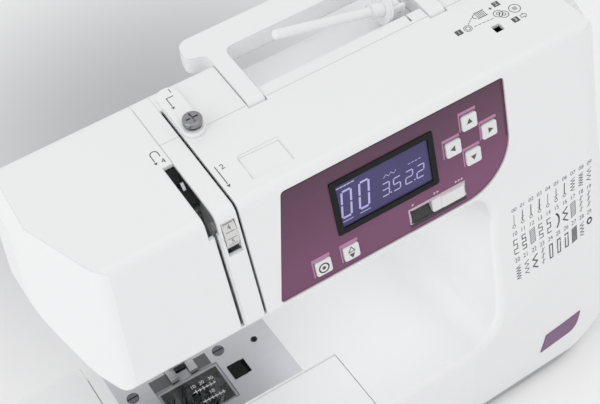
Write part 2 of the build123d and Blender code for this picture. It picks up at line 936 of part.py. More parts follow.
# Bobbin winder: a spindle on a carriage that shifts towards its stop
with BuildPart() as winder_carriage:
    rod(on_top(winder_u, winder_w, -10), top_plane.z_dir, winder_disc, 10 - wall - gap)
    rod(on_top(winder_u, winder_w, -10), top_plane.z_dir, winder_post, 11.5)
    rod(on_top(winder_u, winder_w, -20), top_plane.z_dir, 3.0 + running, 40, mode=Mode.SUBTRACT)
save(winder_carriage, "winder_carriage")

with BuildPart() as winder_spindle:
    rod(on_top(winder_u, winder_w, -16), top_plane.z_dir, 3.0, 30)
    rod(on_top(winder_u, winder_w, -16), top_plane.z_dir, 8.0, 5.6)
    rod(on_top(winder_u, winder_w, 1.5 + gap), top_plane.z_dir, 5.0, 2.0)
save(winder_spindle, "winder_spindle")

with BuildPart() as winder_stop:
    rod(on_top(winder_u + 21, winder_w), top_plane.z_dir, 5.0, 8.0)
    fillet(winder_stop.faces().sort_by(upward)[-1].edges(), 1.5)
save(winder_stop, "winder_stop")

# Main shaft along the arm: needle crank, sprocket and drive pulley on it
crank_x = needle_x + 14
crank_radius = 14.0

with BuildPart() as main_shaft:
    rod((crank_x, shaft_y, shaft_z), (1, 0, 0), shaft_radius, wheel_x + 10 - crank_x)
    rod((crank_x, shaft_y, shaft_z), (1, 0, 0), crank_radius, 8)
    rod((timing_x, shaft_y, shaft_z), (1, 0, 0), timing_radius, timing_width)
    rod((belt_x, shaft_y, shaft_z), (1, 0, 0), main_pulley, belt_width)
save(main_shaft, "main_shaft")

# Handwheel on the shaft's right end
with BuildPart() as handwheel:
    rod((wheel_x, shaft_y, shaft_z), (1, 0, 0), wheel_radius, wheel_width)
    fillet(handwheel.faces().sort_by(Axis.X)[-1].edges(), 3)
    for k in range(wheel_grips):
        turn = radians(360 * k / wheel_grips)
        grip_at = (wheel_radius + 0.8) * Vector(0, cos(turn), sin(turn))
        rod(
            Vector(wheel_x - 1, shaft_y, shaft_z) + grip_at,
            (1, 0, 0),
            1.8,
            wheel_width + 2,
            mode=Mode.SUBTRACT,
        )
    rod((wheel_x - 6, shaft_y, shaft_z), (1, 0, 0), hub_radius - 2, 8)
    rod((wheel_x - 10, shaft_y, shaft_z), (1, 0, 0), shaft_radius, 20, mode=Mode.SUBTRACT)
save(handwheel, "handwheel")

# Lower shaft in the bed, with its sprocket and the gear that turns the hook
gear_radius = 6.0
hook_gear = hook_y - lower_y
hook_gear_radius = abs(hook_gear) - gear_radius - gap

with BuildPart() as lower_shaft:
    shaft_length = timing_x + timing_width - needle_x + 12
    rod((needle_x - 10, lower_y, lower_z), (1, 0, 0), lower_radius, shaft_length)
    rod((needle_x - 6, lower_y, lower_z), (1, 0, 0), gear_radius, 12)
    rod((timing_x, lower_y, lower_z), (1, 0, 0), timing_radius, timing_width)
save(lower_shaft, "lower_shaft")

with BuildPart() as timing_belt:
    add(
        belt(
            timing_x, timing_width, (shaft_y, shaft_z), timing_radius, (lower_y, lower_z), timing_radius
        )
    )
save(timing_belt, "timing_belt")

# Motor on the frame's column, with its pulley and belt
with BuildPart() as motor:
    rod((motor_x, motor_y, motor_z), (1, 0, 0), motor_radius, motor_length)
    rod((motor_x, motor_y, motor_z), (1, 0, 0), 3.0 + running, motor_length + 1, mode=Mode.SUBTRACT)
save(motor, "motor")

with BuildPart() as motor_rotor:
    rod((motor_x + 4, motor_y, motor_z), (1, 0, 0), 3.0, belt_x + belt_width + 2 - motor_x - 4)
    rod((belt_x, motor_y, motor_z), (1, 0, 0), motor_pulley, belt_width)
save(motor_rotor, "motor_rotor")

with BuildPart() as motor_belt:
    add(
        belt(
            belt_x, belt_width, (shaft_y, shaft_z), main_pulley, (motor_y, motor_z), motor_pulley
        )
    )
save(motor_belt, "motor_belt")

# Hook: a turning cup round the bobbin holder, on an upright shaft
hook_wall = 2.0
hook_shaft = 3.0

with BuildPart() as hook:
    rod((needle_x, hook_y, hook_top - hook_deep), (0, 0, 1), hook_radius, hook_deep)
    rod(
        (needle_x, hook_y, hook_top - hook_deep + hook_wall),
        (0, 0, 1),
        hook_radius - hook_wall,
        hook_deep,
        mode=Mode.SUBTRACT,
    )
    rod((needle_x, hook_y, lower_z - 10), (0, 0, 1), hook_shaft, hook_top - hook_deep - lower_z + 10)
    rod((needle_x, hook_y, lower_z - 3), (0, 0, 1), hook_gear_radius, 6)
save(hook, "hook")

# Bobbin holder, held still under the needle plate, and the bobbin in it
holder_z = hook_top - hook_deep + hook_wall + gap
holder_radius = hook_radius - hook_wall - 2 * gap
holder_top = bed_z - 4.6
cover_side = cover_width / 2

with BuildPart() as bobbin_holder:
    rod((needle_x, hook_y, holder_z), (0, 0, 1), holder_radius, holder_top - holder_z)
    rod(
        (needle_x, hook_y, holder_z + 1.4),
        (0, 0, 1),
        bobbin_radius + 0.6,
        40,
        mode=Mode.SUBTRACT,
    )
    block(
        (needle_x + holder_radius - 3, needle_x + cover_side + 2),
        (hook_y - 3, hook_y + 3),
        (hook_top + 0.6, holder_top),
    )
    block(
        (needle_x + cover_side - 1.6, needle_x + cover_side + 2),
        (hook_y - 3, hook_y + 3),
        (hook_top + 0.6, bed_z - plate_thick),
    )
save(bobbin_holder, "bobbin_holder")

with BuildPart() as bobbin:
    bobbin_z = holder_z + 1.4 + gap
    rod((needle_x, hook_y, bobbin_z), (0, 0, 1), bobbin_radius, 1.2)
    rod((needle_x, hook_y, bobbin_z), (0, 0, 1), 5.0, bobbin_height)
    rod((needle_x, hook_y, bobbin_z + bobbin_height - 1.2), (0, 0, 1), bobbin_radius, 1.2)
    rod((needle_x, hook_y, bobbin_z), (0, 0, 1), 3.2, bobbin_height, mode=Mode.SUBTRACT)
save(bobbin, "bobbin")

# Needle plate with its openings, and the two screws that hold it
bar_pitch = 8.0
bar_half = 1.1
side_bar = (needle_y - 1, needle_y + 16)
middle_bar = (needle_y + 5, needle_y + 15)
bars = {-bar_pitch: side_bar, 0.0: middle_bar, bar_pitch: side_bar}
needle_slot = 4.5
through = (bed_z - 5, bed_z + 1)
release_at = (needle_x + 32.4, needle_y - 23.6)
release_size = (9.7, 12.4)
release_x = (release_at[0] - release_size[0] / 2, release_at[0] + release_size[0] / 2)
release_y = (release_at[1] - release_size[1] / 2, release_at[1] + release_size[1] / 2)
release_rise = 0.8
release_lip = 1.5
release_travel = 3.0
ledge = 2.0
screw_head = 4.4
screw_sink = 1.2

with BuildPart() as plate_screws:
    for x, y in screw_at:
        rod((x, y, bed_z - screw_sink), (0, 0, 1), screw_head, screw_sink + 0.4)
        rod((x, y, bed_z - 9), (0, 0, 1), plate_screw, 9)
        block((x - 5, x + 5), (y - 0.5, y + 0.5), (bed_z - 0.4, bed_z + 1), mode=Mode.SUBTRACT)
save(plate_screws, "plate_screws")

with BuildPart() as needle_plate:
    block((plate_left, plate_right), (plate_front, plate_back), (bed_z - plate_thick, bed_z))
    block(
        (needle_x - cover_side, needle_x + cover_side),
        (cover_front, cover_back),
        (bed_z - cover_thick, bed_z + 1),
        mode=Mode.SUBTRACT,
    )
    block(
        (needle_x - cover_side + ledge, needle_x + cover_side - ledge),
        (cover_front + ledge, cover_back - ledge),
        through,
        mode=Mode.SUBTRACT,
    )
    for x, span in bars.items():
        block(
            (needle_x + x - bar_half - 0.5, needle_x + x + bar_half + 0.5),
            (span[0] - 0.6, span[1] + 0.6),
            through,
            mode=Mode.SUBTRACT,
        )
    block(
        (needle_x - needle_slot, needle_x + needle_slot),
        (needle_y - 1.2, needle_y + 1.2),
        through,
        mode=Mode.SUBTRACT,
    )
    block(
        (release_x[0] - gap, release_x[1] + release_travel + gap),
        (release_y[0] - gap, release_y[1] + gap),
        through,
        mode=Mode.SUBTRACT,
    )
    for x, y in screw_at:
        rod((x, y, bed_z - screw_sink), (0, 0, 1), screw_head, 4, mode=Mode.SUBTRACT)
        rod((x, y, bed_z - 5), (0, 0, 1), plate_screw, 8, mode=Mode.SUBTRACT)
save(needle_plate, "needle_plate")

# Clear bobbin cover, and the sliding button that lets it go
with BuildPart() as bobbin_cover:
    block(
        (needle_x - cover_side + gap, needle_x + cover_side - gap),
        (cover_front + gap, cover_back - gap),
        (bed_z - cover_thick + gap, bed_z),
    )
save(bobbin_cover, "bobbin_cover")

with BuildPart() as cover_release:
    release_z = bed_z - plate_thick - gap
    block(release_x, release_y, (release_z - release_lip, bed_z + release_rise))
    block(
        release_x,
        (release_y[0] - release_lip, release_y[1] + release_lip),
        (release_z - release_lip, release_z),
    )
    with BuildSketch(Plane((*release_at, bed_z + release_rise))):
        with GridLocations(1.5, 1.5, 6, 8):
            Circle(0.45)
    extrude(amount=-0.4, mode=Mode.SUBTRACT)
save(cover_release, "cover_release")

# Feed dog: three toothed bars on a carrier under the plate
tooth_pitch = 1.6

with BuildPart() as feed_dog:
    block((needle_x - 10, needle_x + 10), (needle_y + 4, needle_y + 32), (bed_z - 14, bed_z - 10))
    for x, span in bars.items():
        block((needle_x + x - bar_half, needle_x + x + bar_half), span, (bed_z - 10, bed_z + 0.8))
        for k in range(1, int((span[1] - span[0]) / tooth_pitch)):
            notch = span[0] + k * tooth_pitch
            block(
                (needle_x + x - 2, needle_x + x + 2),
                (notch - tooth_pitch / 4, notch + tooth_pitch / 4),
                (bed_z + 0.1, bed_z + 2),
                mode=Mode.SUBTRACT,
            )
save(feed_dog, "feed_dog")

# Feed-drop lever in the back of the free arm
with BuildPart() as feed_drop_lever:
    drop_y = arm_back - wall - gap
    block((drop_x[0] + gap, drop_x[0] + 10), (drop_y, arm_back + 5), (drop_z[0] + gap, drop_z[1] - gap))
    block((drop_x[0] - 4, drop_x[0] + 14), (drop_y - 2, drop_y), (drop_z[0] - 3, drop_z[1] + 3))
save(feed_drop_lever, "feed_drop_lever")

# Needle bar with clamp, clamp screw and needle
clamp_radius = 5.8
clamp_thread = 1.5

with BuildPart() as needle_bar:
    rod((needle_x, needle_y, clamp_z), (0, 0, 1), bar_radius, bed_z + 172 - clamp_z)
save(needle_bar, "needle_bar")

with BuildPart() as needle_clamp:
    rod((needle_x, needle_y, clamp_z - 9), (0, 0, 1), clamp_radius, 15)
    rod((needle_x, needle_y, clamp_z), (0, 0, 1), bar_radius, 20, mode=Mode.SUBTRACT)
    rod((needle_x, needle_y, clamp_z - 20), (0, 0, 1), needle_radius, 20, mode=Mode.SUBTRACT)
    rod((needle_x, needle_y, clamp_z - 5), (1, 0, 0), clamp_thread, 20, mode=Mode.SUBTRACT)
save(needle_clamp, "needle_clamp")

with BuildPart() as clamp_screw:
    rod((needle_x + needle_radius + running, needle_y, clamp_z - 5), (1, 0, 0), clamp_thread, 8)
    rod((needle_x + clamp_radius, needle_y, clamp_z - 5), (1, 0, 0), 3.2, 8)
save(clamp_screw, "clamp_screw")

with BuildPart() as needle:
    with BuildSketch(Plane((needle_x, needle_y, needle_tip))):
        Circle(0.15)
    with BuildSketch(Plane((needle_x, needle_y, needle_tip + 5))):
        Circle(needle_radius)
    loft()
    rod((needle_x, needle_y, needle_tip + 5), (0, 0, 1), needle_radius, clamp_z - needle_tip - 5)
save(needle, "needle")

# Presser bar, foot holder and foot
foot_pin = 1.2
foot_pin_at = (needle_y + 10, bed_z + 9)
foot_sole = bed_z + 0.8 + gap
holder_half = 4.2

with BuildPart() as presser_bar:
    rod((needle_x, presser_y, bed_z + 20), (0, 0, 1), presser_radius, 146)
save(presser_bar, "presser_bar")

with BuildPart() as foot_holder:
    block(
        (needle_x - holder_half, needle_x + holder_half),
        (needle_y + 6.4, needle_y + 18),
        (bed_z + 5.6, bed_z + 26),
    )
    rod((needle_x, presser_y, bed_z + 20), (0, 0, 1), presser_radius, 20, mode=Mode.SUBTRACT)
    rod((needle_x - 20, *foot_pin_at), (1, 0, 0), foot_pin + running, 40, mode=Mode.SUBTRACT)
save(foot_holder, "foot_holder")

with BuildPart() as presser_foot:
    block(
        (needle_x - 10.5, needle_x + 10.5),
        (cover_back + 0.8, needle_y + 13),
        (foot_sole, foot_sole + 2.2),
    )
    block(
        (needle_x - 4.5, needle_x + 4.5),
        (cover_back, needle_y + 2),
        (bed_z, bed_z + 6),
        mode=Mode.SUBTRACT,
    )
    for side in (-1, 1):
        inner = needle_x + side * (holder_half + gap)
        outer = inner + side * 2.0
        block(
            (min(inner, outer), max(inner, outer)),
            (needle_y + 6.5, needle_y + 13),
            (foot_sole, bed_z + 11.5),
        )
    pin_half = holder_half + gap + 1
    rod((needle_x - pin_half, *foot_pin_at), (1, 0, 0), foot_pin, 2 * pin_half)
save(presser_foot, "presser_foot")

# Presser lever behind the head, on a stud of the frame
lever_pivot = (needle_y + 41, bed_z + 100)
lever_stud = 2.5
lever_left = lever_x - lever_width / 2

with BuildPart() as presser_lever:
    rod((lever_left, *lever_pivot), (1, 0, 0), 5.5, lever_width)
    with BuildSketch(Plane.YZ.offset(lever_left)):
        Polygon(
            (lever_pivot[0], lever_pivot[1] + 4),
            (lever_pivot[0], lever_pivot[1] - 5),
            (lever_pivot[0] + 38, lever_pivot[1] - 15),
            (lever_pivot[0] + 38, lever_pivot[1] - 10),
            align=None,
        )
    extrude(amount=lever_width)
    rod(
        (lever_left - 1, *lever_pivot),
        (1, 0, 0),
        lever_stud + running,
        lever_width + 2,
        mode=Mode.SUBTRACT,
    )
save(presser_lever, "presser_lever")

# Take-up lever, whose eye works in the wide slot
take_up_pivot = (needle_y + 14, bed_z + 150)
take_up_length = 42.0
take_up_angle = 40.0
take_up_left = take_up_x - 0.1
take_up_thick = 2.0

with BuildPart() as take_up_lever:
    rod((take_up_left, *take_up_pivot), (1, 0, 0), 5.0, take_up_thick)
    with BuildSketch(Plane.YZ.offset(take_up_left)):
        with Locations([take_up_pivot]):
            with Locations([Rotation(0, 0, 180 - take_up_angle)]):
                Rectangle(take_up_length, 5, align=(Align.MIN, Align.CENTER))
    extrude(amount=take_up_thick)
    rod(
        (take_up_left - 1, *take_up_pivot),
        (1, 0, 0),
        lever_stud + running,
        take_up_thick + 2,
        mode=Mode.SUBTRACT,
    )
save(take_up_lever, "take_up_lever")

# Frame: the casting that carries the shafts, the bars and the motor
column_y = (needle_y - 34, needle_y + 46)
beam_y = (needle_y + 22, needle_y + 34)
beam_z = (bed_z + 118, bed_z + 158)
bed_beam_z = (bed_z - arm_depth + wall, bed_z - arm_depth + wall + 4)
lug_half = 11.0
column_reach = max(column_x + column_thick - frame_foot_x[1], 0)
column_foot = base_z + base_round - sqrt((base_round - wall) ** 2 - column_reach**2) + gap

with BuildPart() as frame:
    block((arm_left + 8, column_x + column_thick), (needle_y - 42, needle_y + 36), bed_beam_z)
    block((timing_x - 3, column_x - 1), (lower_y - 22, lower_y + 22), bed_beam_z, mode=Mode.SUBTRACT)
    block((column_x, column_x + column_thick), column_y, (column_foot, beam_z[1]))
    block(frame_foot_x, column_y, (floor_z, floor_z + frame_foot))
    block((frame_foot_x[0], column_x + 1), column_y, (column_foot, floor_z + frame_foot))
    block((needle_x - lug_half, column_x + column_thick), beam_y, beam_z)
    block((needle_x + 52, needle_x + 62), (shaft_y - 11, beam_y[1]), (shaft_z - 11, shaft_z + 11))
    block((needle_x - lug_half, needle_x + lug_half), beam_y, (lug_low, beam_z[1]))
    for z in (lug_low, lug_high):
        block((needle_x - lug_half, needle_x + lug_half), (needle_y - 8, beam_y[1]), (z, z + lug_thick))
    block(
        (needle_x - 4, lever_left - gap),
        (beam_y[0], lever_pivot[0] + 5),
        (lug_low, lever_pivot[1] + 22),
    )
    rod((needle_x, *lever_pivot), (1, 0, 0), lever_stud, lever_left + lever_width - needle_x)
    block(
        (take_up_left - gap - 4.5, take_up_left - gap),
        (take_up_pivot[0] - 5, beam_y[1]),
        (take_up_pivot[1] - 5, beam_z[1]),
    )
    rod((take_up_left - 3, *take_up_pivot), (1, 0, 0), lever_stud, take_up_thick + 5)
    for x in (needle_x + 18, timing_x - 20):
        block((x, x + 8), (lower_y - 8, lower_y + 8), (bed_beam_z[0], lower_z + 8))
    rod((needle_x, hook_y, bed_beam_z[0]), (0, 0, 1), 8.0, lower_z - 3 - gap - bed_beam_z[0])
    rod((needle_x - 30, shaft_y, shaft_z), (1, 0, 0), shaft_radius + running, far, mode=Mode.SUBTRACT)
    rod((needle_x - 30, lower_y, lower_z), (1, 0, 0), lower_radius + running, far, mode=Mode.SUBTRACT)
    rod((needle_x, needle_y, bed_z), (0, 0, 1), bar_radius + running, far, mode=Mode.SUBTRACT)
    rod((needle_x, presser_y, bed_z), (0, 0, 1), presser_radius + running, far, mode=Mode.SUBTRACT)
    rod((needle_x, hook_y, lower_z - 10 - gap), (0, 0, 1), hook_shaft + running, 30, mode=Mode.SUBTRACT)
    add(base_screws.part, mode=Mode.SUBTRACT)
save(frame, "frame")

# Extension table: the accessory box that wraps the free arm, with a flap in its front
table_back = arm_back
table_inner_x = arm_left - 0.4
table_inner_y = arm_front - 0.4
table_right = table_seam_x - 0.4
table_lift = 2.0
front_fall = (bed_front_foot - bed_front) / (bed_z - base_z)
table_plane = Plane(origin=(needle_x, bed_front, bed_z), x_dir=(1, 0, 0), z_dir=(0, -1, -front_fall))
flap_x = (-84.0, 66.0)
flap_top = -18.0
flap_bottom = -62.0
flap_round = table_wall / 2
flap_pin = 0.7
flap_pin_reach = 2.0
flap_hinge = table_plane.from_local_coords(
    Vector(flap_x[0] - flap_pin_reach, flap_bottom + gap + flap_round, -flap_round)
)
flap_pin_length = flap_x[1] - flap_x[0] + 2 * flap_pin_reach


def table_form(inset):
    """The L-shaped box round the free arm's front and left end, drawn in by an inset."""
    with BuildPart(mode=Mode.PRIVATE) as solid:
        with BuildSketch(Plane.YZ) as side:
            outline(
                side,
                [
                    (bed_front, bed_z, bed_round),
                    (bed_front_foot, base_z, 0),
                    (table_back, base_z, 0),
                    (table_back, bed_z, 3),
                ],
                inset,
            )
        extrude(amount=far, both=True)
        with BuildSketch(Plane.XY) as plan:
            outline(
                plan,
                [
                    (table_left, bed_front - 1, table_round),
                    (table_right, bed_front - 1, 0),
                    (table_right, table_inner_y, 0),
                    (table_inner_x, table_inner_y, 8),
                    (table_inner_x, table_back + 1, 0),
                    (table_left, table_back + 1, table_round),
                ],
                inset,
            )
        extrude(amount=far, both=True, mode=Mode.INTERSECT)
        block(everywhere, everywhere, (base_z + table_lift + inset, bed_z - inset), mode=Mode.INTERSECT)
    return solid.part


with BuildPart() as extension_table:
    add(table_form(0))
    add(table_form(table_wall), mode=Mode.SUBTRACT)
    with BuildSketch(table_plane):
        with Locations([(sum(flap_x) / 2, (flap_top + flap_bottom) / 2)]):
            Rectangle(flap_x[1] - flap_x[0], flap_top - flap_bottom)
    extrude(amount=10, both=True, mode=Mode.SUBTRACT)
    rod(flap_hinge, (1, 0, 0), flap_pin + running, flap_pin_length, mode=Mode.SUBTRACT)
save(extension_table, "extension_table")

with BuildPart() as accessory_flap:
    with BuildSketch(table_plane):
        with Locations([(sum(flap_x) / 2, (flap_top + flap_bottom) / 2)]):
            Rectangle(flap_x[1] - flap_x[0] - 2 * gap, flap_top - flap_bottom - 2 * gap)
    extrude(amount=-table_wall)
    fillet(accessory_flap.edges().filter_by(Axis.X).sort_by(Axis.Z)[:2], flap_round - 0.01)
    rod(flap_hinge, (1, 0, 0), flap_pin, flap_pin_length)
save(accessory_flap, "accessory_flap")

# Socket block and power switch in the right end
with BuildPart() as socket_block:
    block(socket_x, socket_y, socket_z)
    inlet_x = (socket_x[1] - 12, socket_x[1] + 1)
    mains_z = (socket_z[0] + 4, socket_z[0] + 14)
    control_z = (socket_z[1] - 13, socket_z[1] - 4)
    block(inlet_x, (socket_y[0] + 4, socket_y[1] - 4), mains_z, mode=Mode.SUBTRACT)
    block(inlet_x, (socket_y[0] + 8, socket_y[1] - 8), control_z, mode=Mode.SUBTRACT)
save(socket_block, "socket_block")

with BuildPart() as power_switch:
    with BuildSketch(Plane.XZ.offset(-(switch_y[1] - switch_gap))):
        Polygon(
            (switch_axis[0] - 5, switch_z[0] + 2),
            (switch_axis[0] - 5, switch_z[1] - 2),
            (switch_axis[0] + 4.5, switch_z[1] - 0.9),
            (switch_axis[0] + 6.5, switch_z[0] + 1.5),
            align=None,
        )
    extrude(amount=switch_y[1] - switch_y[0] - 2 * switch_gap)
    rod(
        (switch_axis[0], switch_y[0] - switch_lug, switch_axis[1]),
        (0, 1, 0),
        switch_pin,
        switch_y[1] - switch_y[0] + 2 * switch_lug,
    )
save(power_switch, "power_switch")
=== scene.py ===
import math

import bmesh
import bpy
from mathutils import Matrix, Vector
from mathutils.bvhtree import BVHTree


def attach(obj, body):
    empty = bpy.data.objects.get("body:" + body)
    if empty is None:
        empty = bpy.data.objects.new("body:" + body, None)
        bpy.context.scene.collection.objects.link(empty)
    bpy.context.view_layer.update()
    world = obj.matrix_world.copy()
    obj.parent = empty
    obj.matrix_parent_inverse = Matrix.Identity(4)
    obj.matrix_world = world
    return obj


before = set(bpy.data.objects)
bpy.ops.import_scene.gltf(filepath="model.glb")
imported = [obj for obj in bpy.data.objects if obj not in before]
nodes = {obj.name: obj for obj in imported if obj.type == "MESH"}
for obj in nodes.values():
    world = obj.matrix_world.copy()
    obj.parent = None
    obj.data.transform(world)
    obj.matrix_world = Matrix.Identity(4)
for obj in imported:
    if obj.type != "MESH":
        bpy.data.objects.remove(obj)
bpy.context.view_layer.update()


# Feet and base: six black rubber feet plugged into a grey moulded base plate, which four plated
# screws hold to the frame. The base is injection moulded with a fine matt grain.
def effect_group(name, inputs):
    """A node group with these inputs, and outputs for a colour, a roughness and a normal."""
    group = bpy.data.node_groups.new(name, "ShaderNodeTree")
    kinds = {1: "NodeSocketFloat", 3: "NodeSocketVector", 4: "NodeSocketColor"}
    for label, value in inputs.items():
        kind = kinds[len(value) if isinstance(value, tuple) else 1]
        group.interface.new_socket(label, in_out="INPUT", socket_type=kind).default_value = value
    for label, size in (("Colour", 4), ("Roughness", 1), ("Normal", 3)):
        group.interface.new_socket(label, in_out="OUTPUT", socket_type=kinds[size])
    return group, group.nodes.new("NodeGroupInput").outputs


def add_node(group, kind, **inputs):
    """A node of a group. Each input is a value or another node's output."""
    node = group.nodes.new(kind)
    for label, source in inputs.items():
        socket = node.inputs[label.replace("_", " ")]
        if isinstance(source, bpy.types.NodeSocket):
            group.links.new(source, socket)
        else:
            socket.default_value = source
    return node


def blend(group, mask, first, second):
    """Two colours mixed by a mask."""
    mix = group.nodes.new("ShaderNodeMix")
    mix.data_type = "RGBA"
    for socket, source in ((0, mask), (6, first), (7, second)):
        group.links.new(source, mix.inputs[socket])
    return mix.outputs[2]


def moulded_grain():
    """Slow colour drift, orange-peel gloss and a fine bump, as a moulding shows them."""
    group, given = effect_group(
        "moulded_grain",
        {
            "Colour": (0.8, 0.8, 0.8, 1), "Drift": (0.7, 0.7, 0.7, 1), "Drift scale": 12.0,
            "Grain scale": 900.0, "Gloss low": 0.25, "Gloss high": 0.35, "Bump": 0.05, "Edge": 0.0004,
        },
    )
    place = add_node(group, "ShaderNodeTexCoord").outputs["Object"]
    drift, grain = (
        add_node(
            group, "ShaderNodeTexNoise", Vector=place, Scale=given[scale], Detail=detail
        ).outputs["Fac"]
        for scale, detail in (("Drift scale", 4.0), ("Grain scale", 2.0))
    )
    gloss = add_node(
        group, "ShaderNodeMapRange", Value=drift, To_Min=given["Gloss low"], To_Max=given["Gloss high"]
    )
    soft = add_node(group, "ShaderNodeBevel", Radius=given["Edge"])
    bump = add_node(
        group, "ShaderNodeBump", Distance=0.0001, Strength=given["Bump"], Height=grain,
        Normal=soft.outputs["Normal"],
    )
    add_node(
        group, "NodeGroupOutput", Colour=blend(group, drift, given["Colour"], given["Drift"]),
        Roughness=gloss.outputs["Result"], Normal=bump.outputs["Normal"],
    )
    return group


grain_group = moulded_grain()


def finish(name, group, **values):
    """A Principled material whose colour, gloss and normal come from a group."""
    material = bpy.data.materials.new(name)
    material.use_nodes = True
    tree = material.node_tree
    shader = tree.nodes["Principled BSDF"]
    effect = tree.nodes.new("ShaderNodeGroup")
    effect.node_tree = group
    for label, value in values.items():
        label = label.replace("_", " ")
        socket = effect.inputs.get(label) or shader.inputs.get(label)
        socket.default_value = (*value, 1) if socket.type == "RGBA" else value
    for output, label in (("Colour", "Base Color"), ("Roughness", "Roughness"), ("Normal", "Normal")):
        tree.links.new(effect.outputs[output], shader.inputs[label])
    return material


def dress(material, *names):
    """Gives CAD nodes a finish."""
    for name in names:
        for place in nodes[name].material_slots:
            place.material = material


rubber = finish(
    "foot_rubber", grain_group, Colour=(0.018, 0.018, 0.019), Drift=(0.03, 0.03, 0.031),
    Grain_scale=1500.0, Gloss_low=0.6, Gloss_high=0.8, Bump=0.4,
)
base_grey = finish(
    "base_grey", grain_group, Colour=(0.42, 0.43, 0.44), Drift=(0.38, 0.39, 0.40),
    Grain_scale=1800.0, Gloss_low=0.4, Gloss_high=0.55, Bump=0.3,
)
dress(rubber, "feet", "timing_belt", "motor_belt")
dress(base_grey, "base_plate", "winder_stop", "socket_block")


# Frame, shafts and motor inside: a sand-cast alloy frame, ground steel shafts and a black painted
# motor. Machined steel shows fine lines along its length.
def drawn_steel():
    """Fine lines along X, with small changes of tone and gloss."""
    group, given = effect_group(
        "drawn_steel",
        {
            "Colour": (0.6, 0.6, 0.6, 1), "Line": (0.5, 0.5, 0.5, 1), "Along": (30.0, 2600.0, 2600.0),
            "Gloss low": 0.2, "Gloss high": 0.35, "Bump": 0.1,
        },
    )
    place = add_node(group, "ShaderNodeTexCoord").outputs["Object"]
    stretch = group.nodes.new("ShaderNodeVectorMath")
    stretch.operation = "MULTIPLY"
    group.links.new(place, stretch.inputs[0])
    group.links.new(given["Along"], stretch.inputs[1])
    lines = add_node(
        group, "ShaderNodeTexNoise", Vector=stretch.outputs["Vector"], Scale=1.0, Detail=3.0
    ).outputs["Fac"]
    gloss = add_node(
        group, "ShaderNodeMapRange", Value=lines, To_Min=given["Gloss low"], To_Max=given["Gloss high"]
    )
    bump = add_node(group, "ShaderNodeBump", Distance=0.00003, Strength=given["Bump"], Height=lines)
    add_node(
        group, "NodeGroupOutput", Colour=blend(group, lines, given["Colour"], given["Line"]),
        Roughness=gloss.outputs["Result"], Normal=bump.outputs["Normal"],
    )
    return group


steel_group = drawn_steel()
bright_steel = finish(
    "bright_steel", steel_group, Colour=(0.62, 0.63, 0.64), Line=(0.5, 0.51, 0.52), Bump=0.15,
    Metallic=1.0,
)
cast_alloy = finish(
    "cast_alloy", grain_group, Colour=(0.48, 0.48, 0.49), Drift=(0.36, 0.36, 0.37), Drift_scale=60.0,
    Grain_scale=700.0, Gloss_low=0.45, Gloss_high=0.65, Bump=0.6, Metallic=0.8,
)
motor_black = finish(
    "motor_black", grain_group, Colour=(0.03, 0.03, 0.032), Drift=(0.05, 0.05, 0.052),
    Grain_scale=800.0, Gloss_low=0.3, Gloss_high=0.45, Bump=0.2,
)
board_green = finish(
    "board_green", grain_group, Colour=(0.02, 0.10, 0.05), Drift=(0.03, 0.14, 0.07), Drift_scale=90.0,
    Gloss_low=0.25, Gloss_high=0.4, Bump=0.1,
)
dress(cast_alloy, "frame")
dress(
    bright_steel, "main_shaft", "lower_shaft", "motor_rotor", "base_screws", "handle_pins",
    "needle_bar", "needle_clamp", "clamp_screw", "needle", "presser_bar", "foot_holder",
    "take_up_lever", "winder_spindle", "presser_foot",
)
dress(motor_black, "motor", "bobbin_holder", "power_switch")
dress(board_green, "control_board")

# Casing: five glossy white mouldings for the head, arm, tower and bed, with the extension table
# pushed on to the free arm. They are screwed together from behind, with fine seams between them.
white_look = {
    "Colour": (0.86, 0.862, 0.868), "Drift": (0.845, 0.848, 0.856), "Grain_scale": 500.0,
    "Gloss_low": 0.20, "Gloss_high": 0.28, "Bump": 0.03,
}
white = finish("white_moulding", grain_group, Edge=0.0, **white_look)
white_soft = finish("white_soft_edges", grain_group, Edge=0.0012, **white_look)
dress(white, "front_cover", "rear_cover", "bed")
dress(
    white_soft, "face_cover", "thread_strip", "extension_table", "accessory_flap", "handle",
    "thread_guide", "spool_pin", "handwheel", "winder_carriage", "feed_drop_lever", "presser_lever",
)
lamp_cream = finish(
    "lamp_cream", grain_group, Colour=(0.85, 0.80, 0.66), Drift=(0.80, 0.74, 0.58), Drift_scale=80.0,
    Gloss_low=0.2, Gloss_high=0.3,
)
dress(lamp_cream, "lamp")

# Seams and thread marks: the joints between the mouldings, and the numbered arrows that show the
# thread's path, printed in dark grey on the top and on the guide block.
mm = 0.001
needle = Vector((-110.5, 12.0, 82.0))
front_corner = Vector((-110.5, -40.9, 260.0))
top_slope, front_lean = 0.08665, 0.12


def sheet(origin, across, up):
    """A drawing sheet laid on the machine: takes millimetres on the sheet to the frame."""
    x, y = Vector(across).normalized(), Vector(up).normalized()
    turn = Matrix((x, y, x.cross(y))).transposed().to_4x4()
    return Matrix.Scale(mm, 4) @ Matrix.Translation(origin) @ turn


top_sheet = sheet(front_corner, (1, 0, 0), (0, 1, top_slope))
front_sheet = sheet(front_corner, (1, 0, 0), (0, front_lean, 1))
upright_sheet = sheet(needle - Vector((0, 120, 0)), (1, 0, 0), (0, 0, 1))
bed_sheet = sheet(needle, (1, 0, 0), (0, 1, 0))


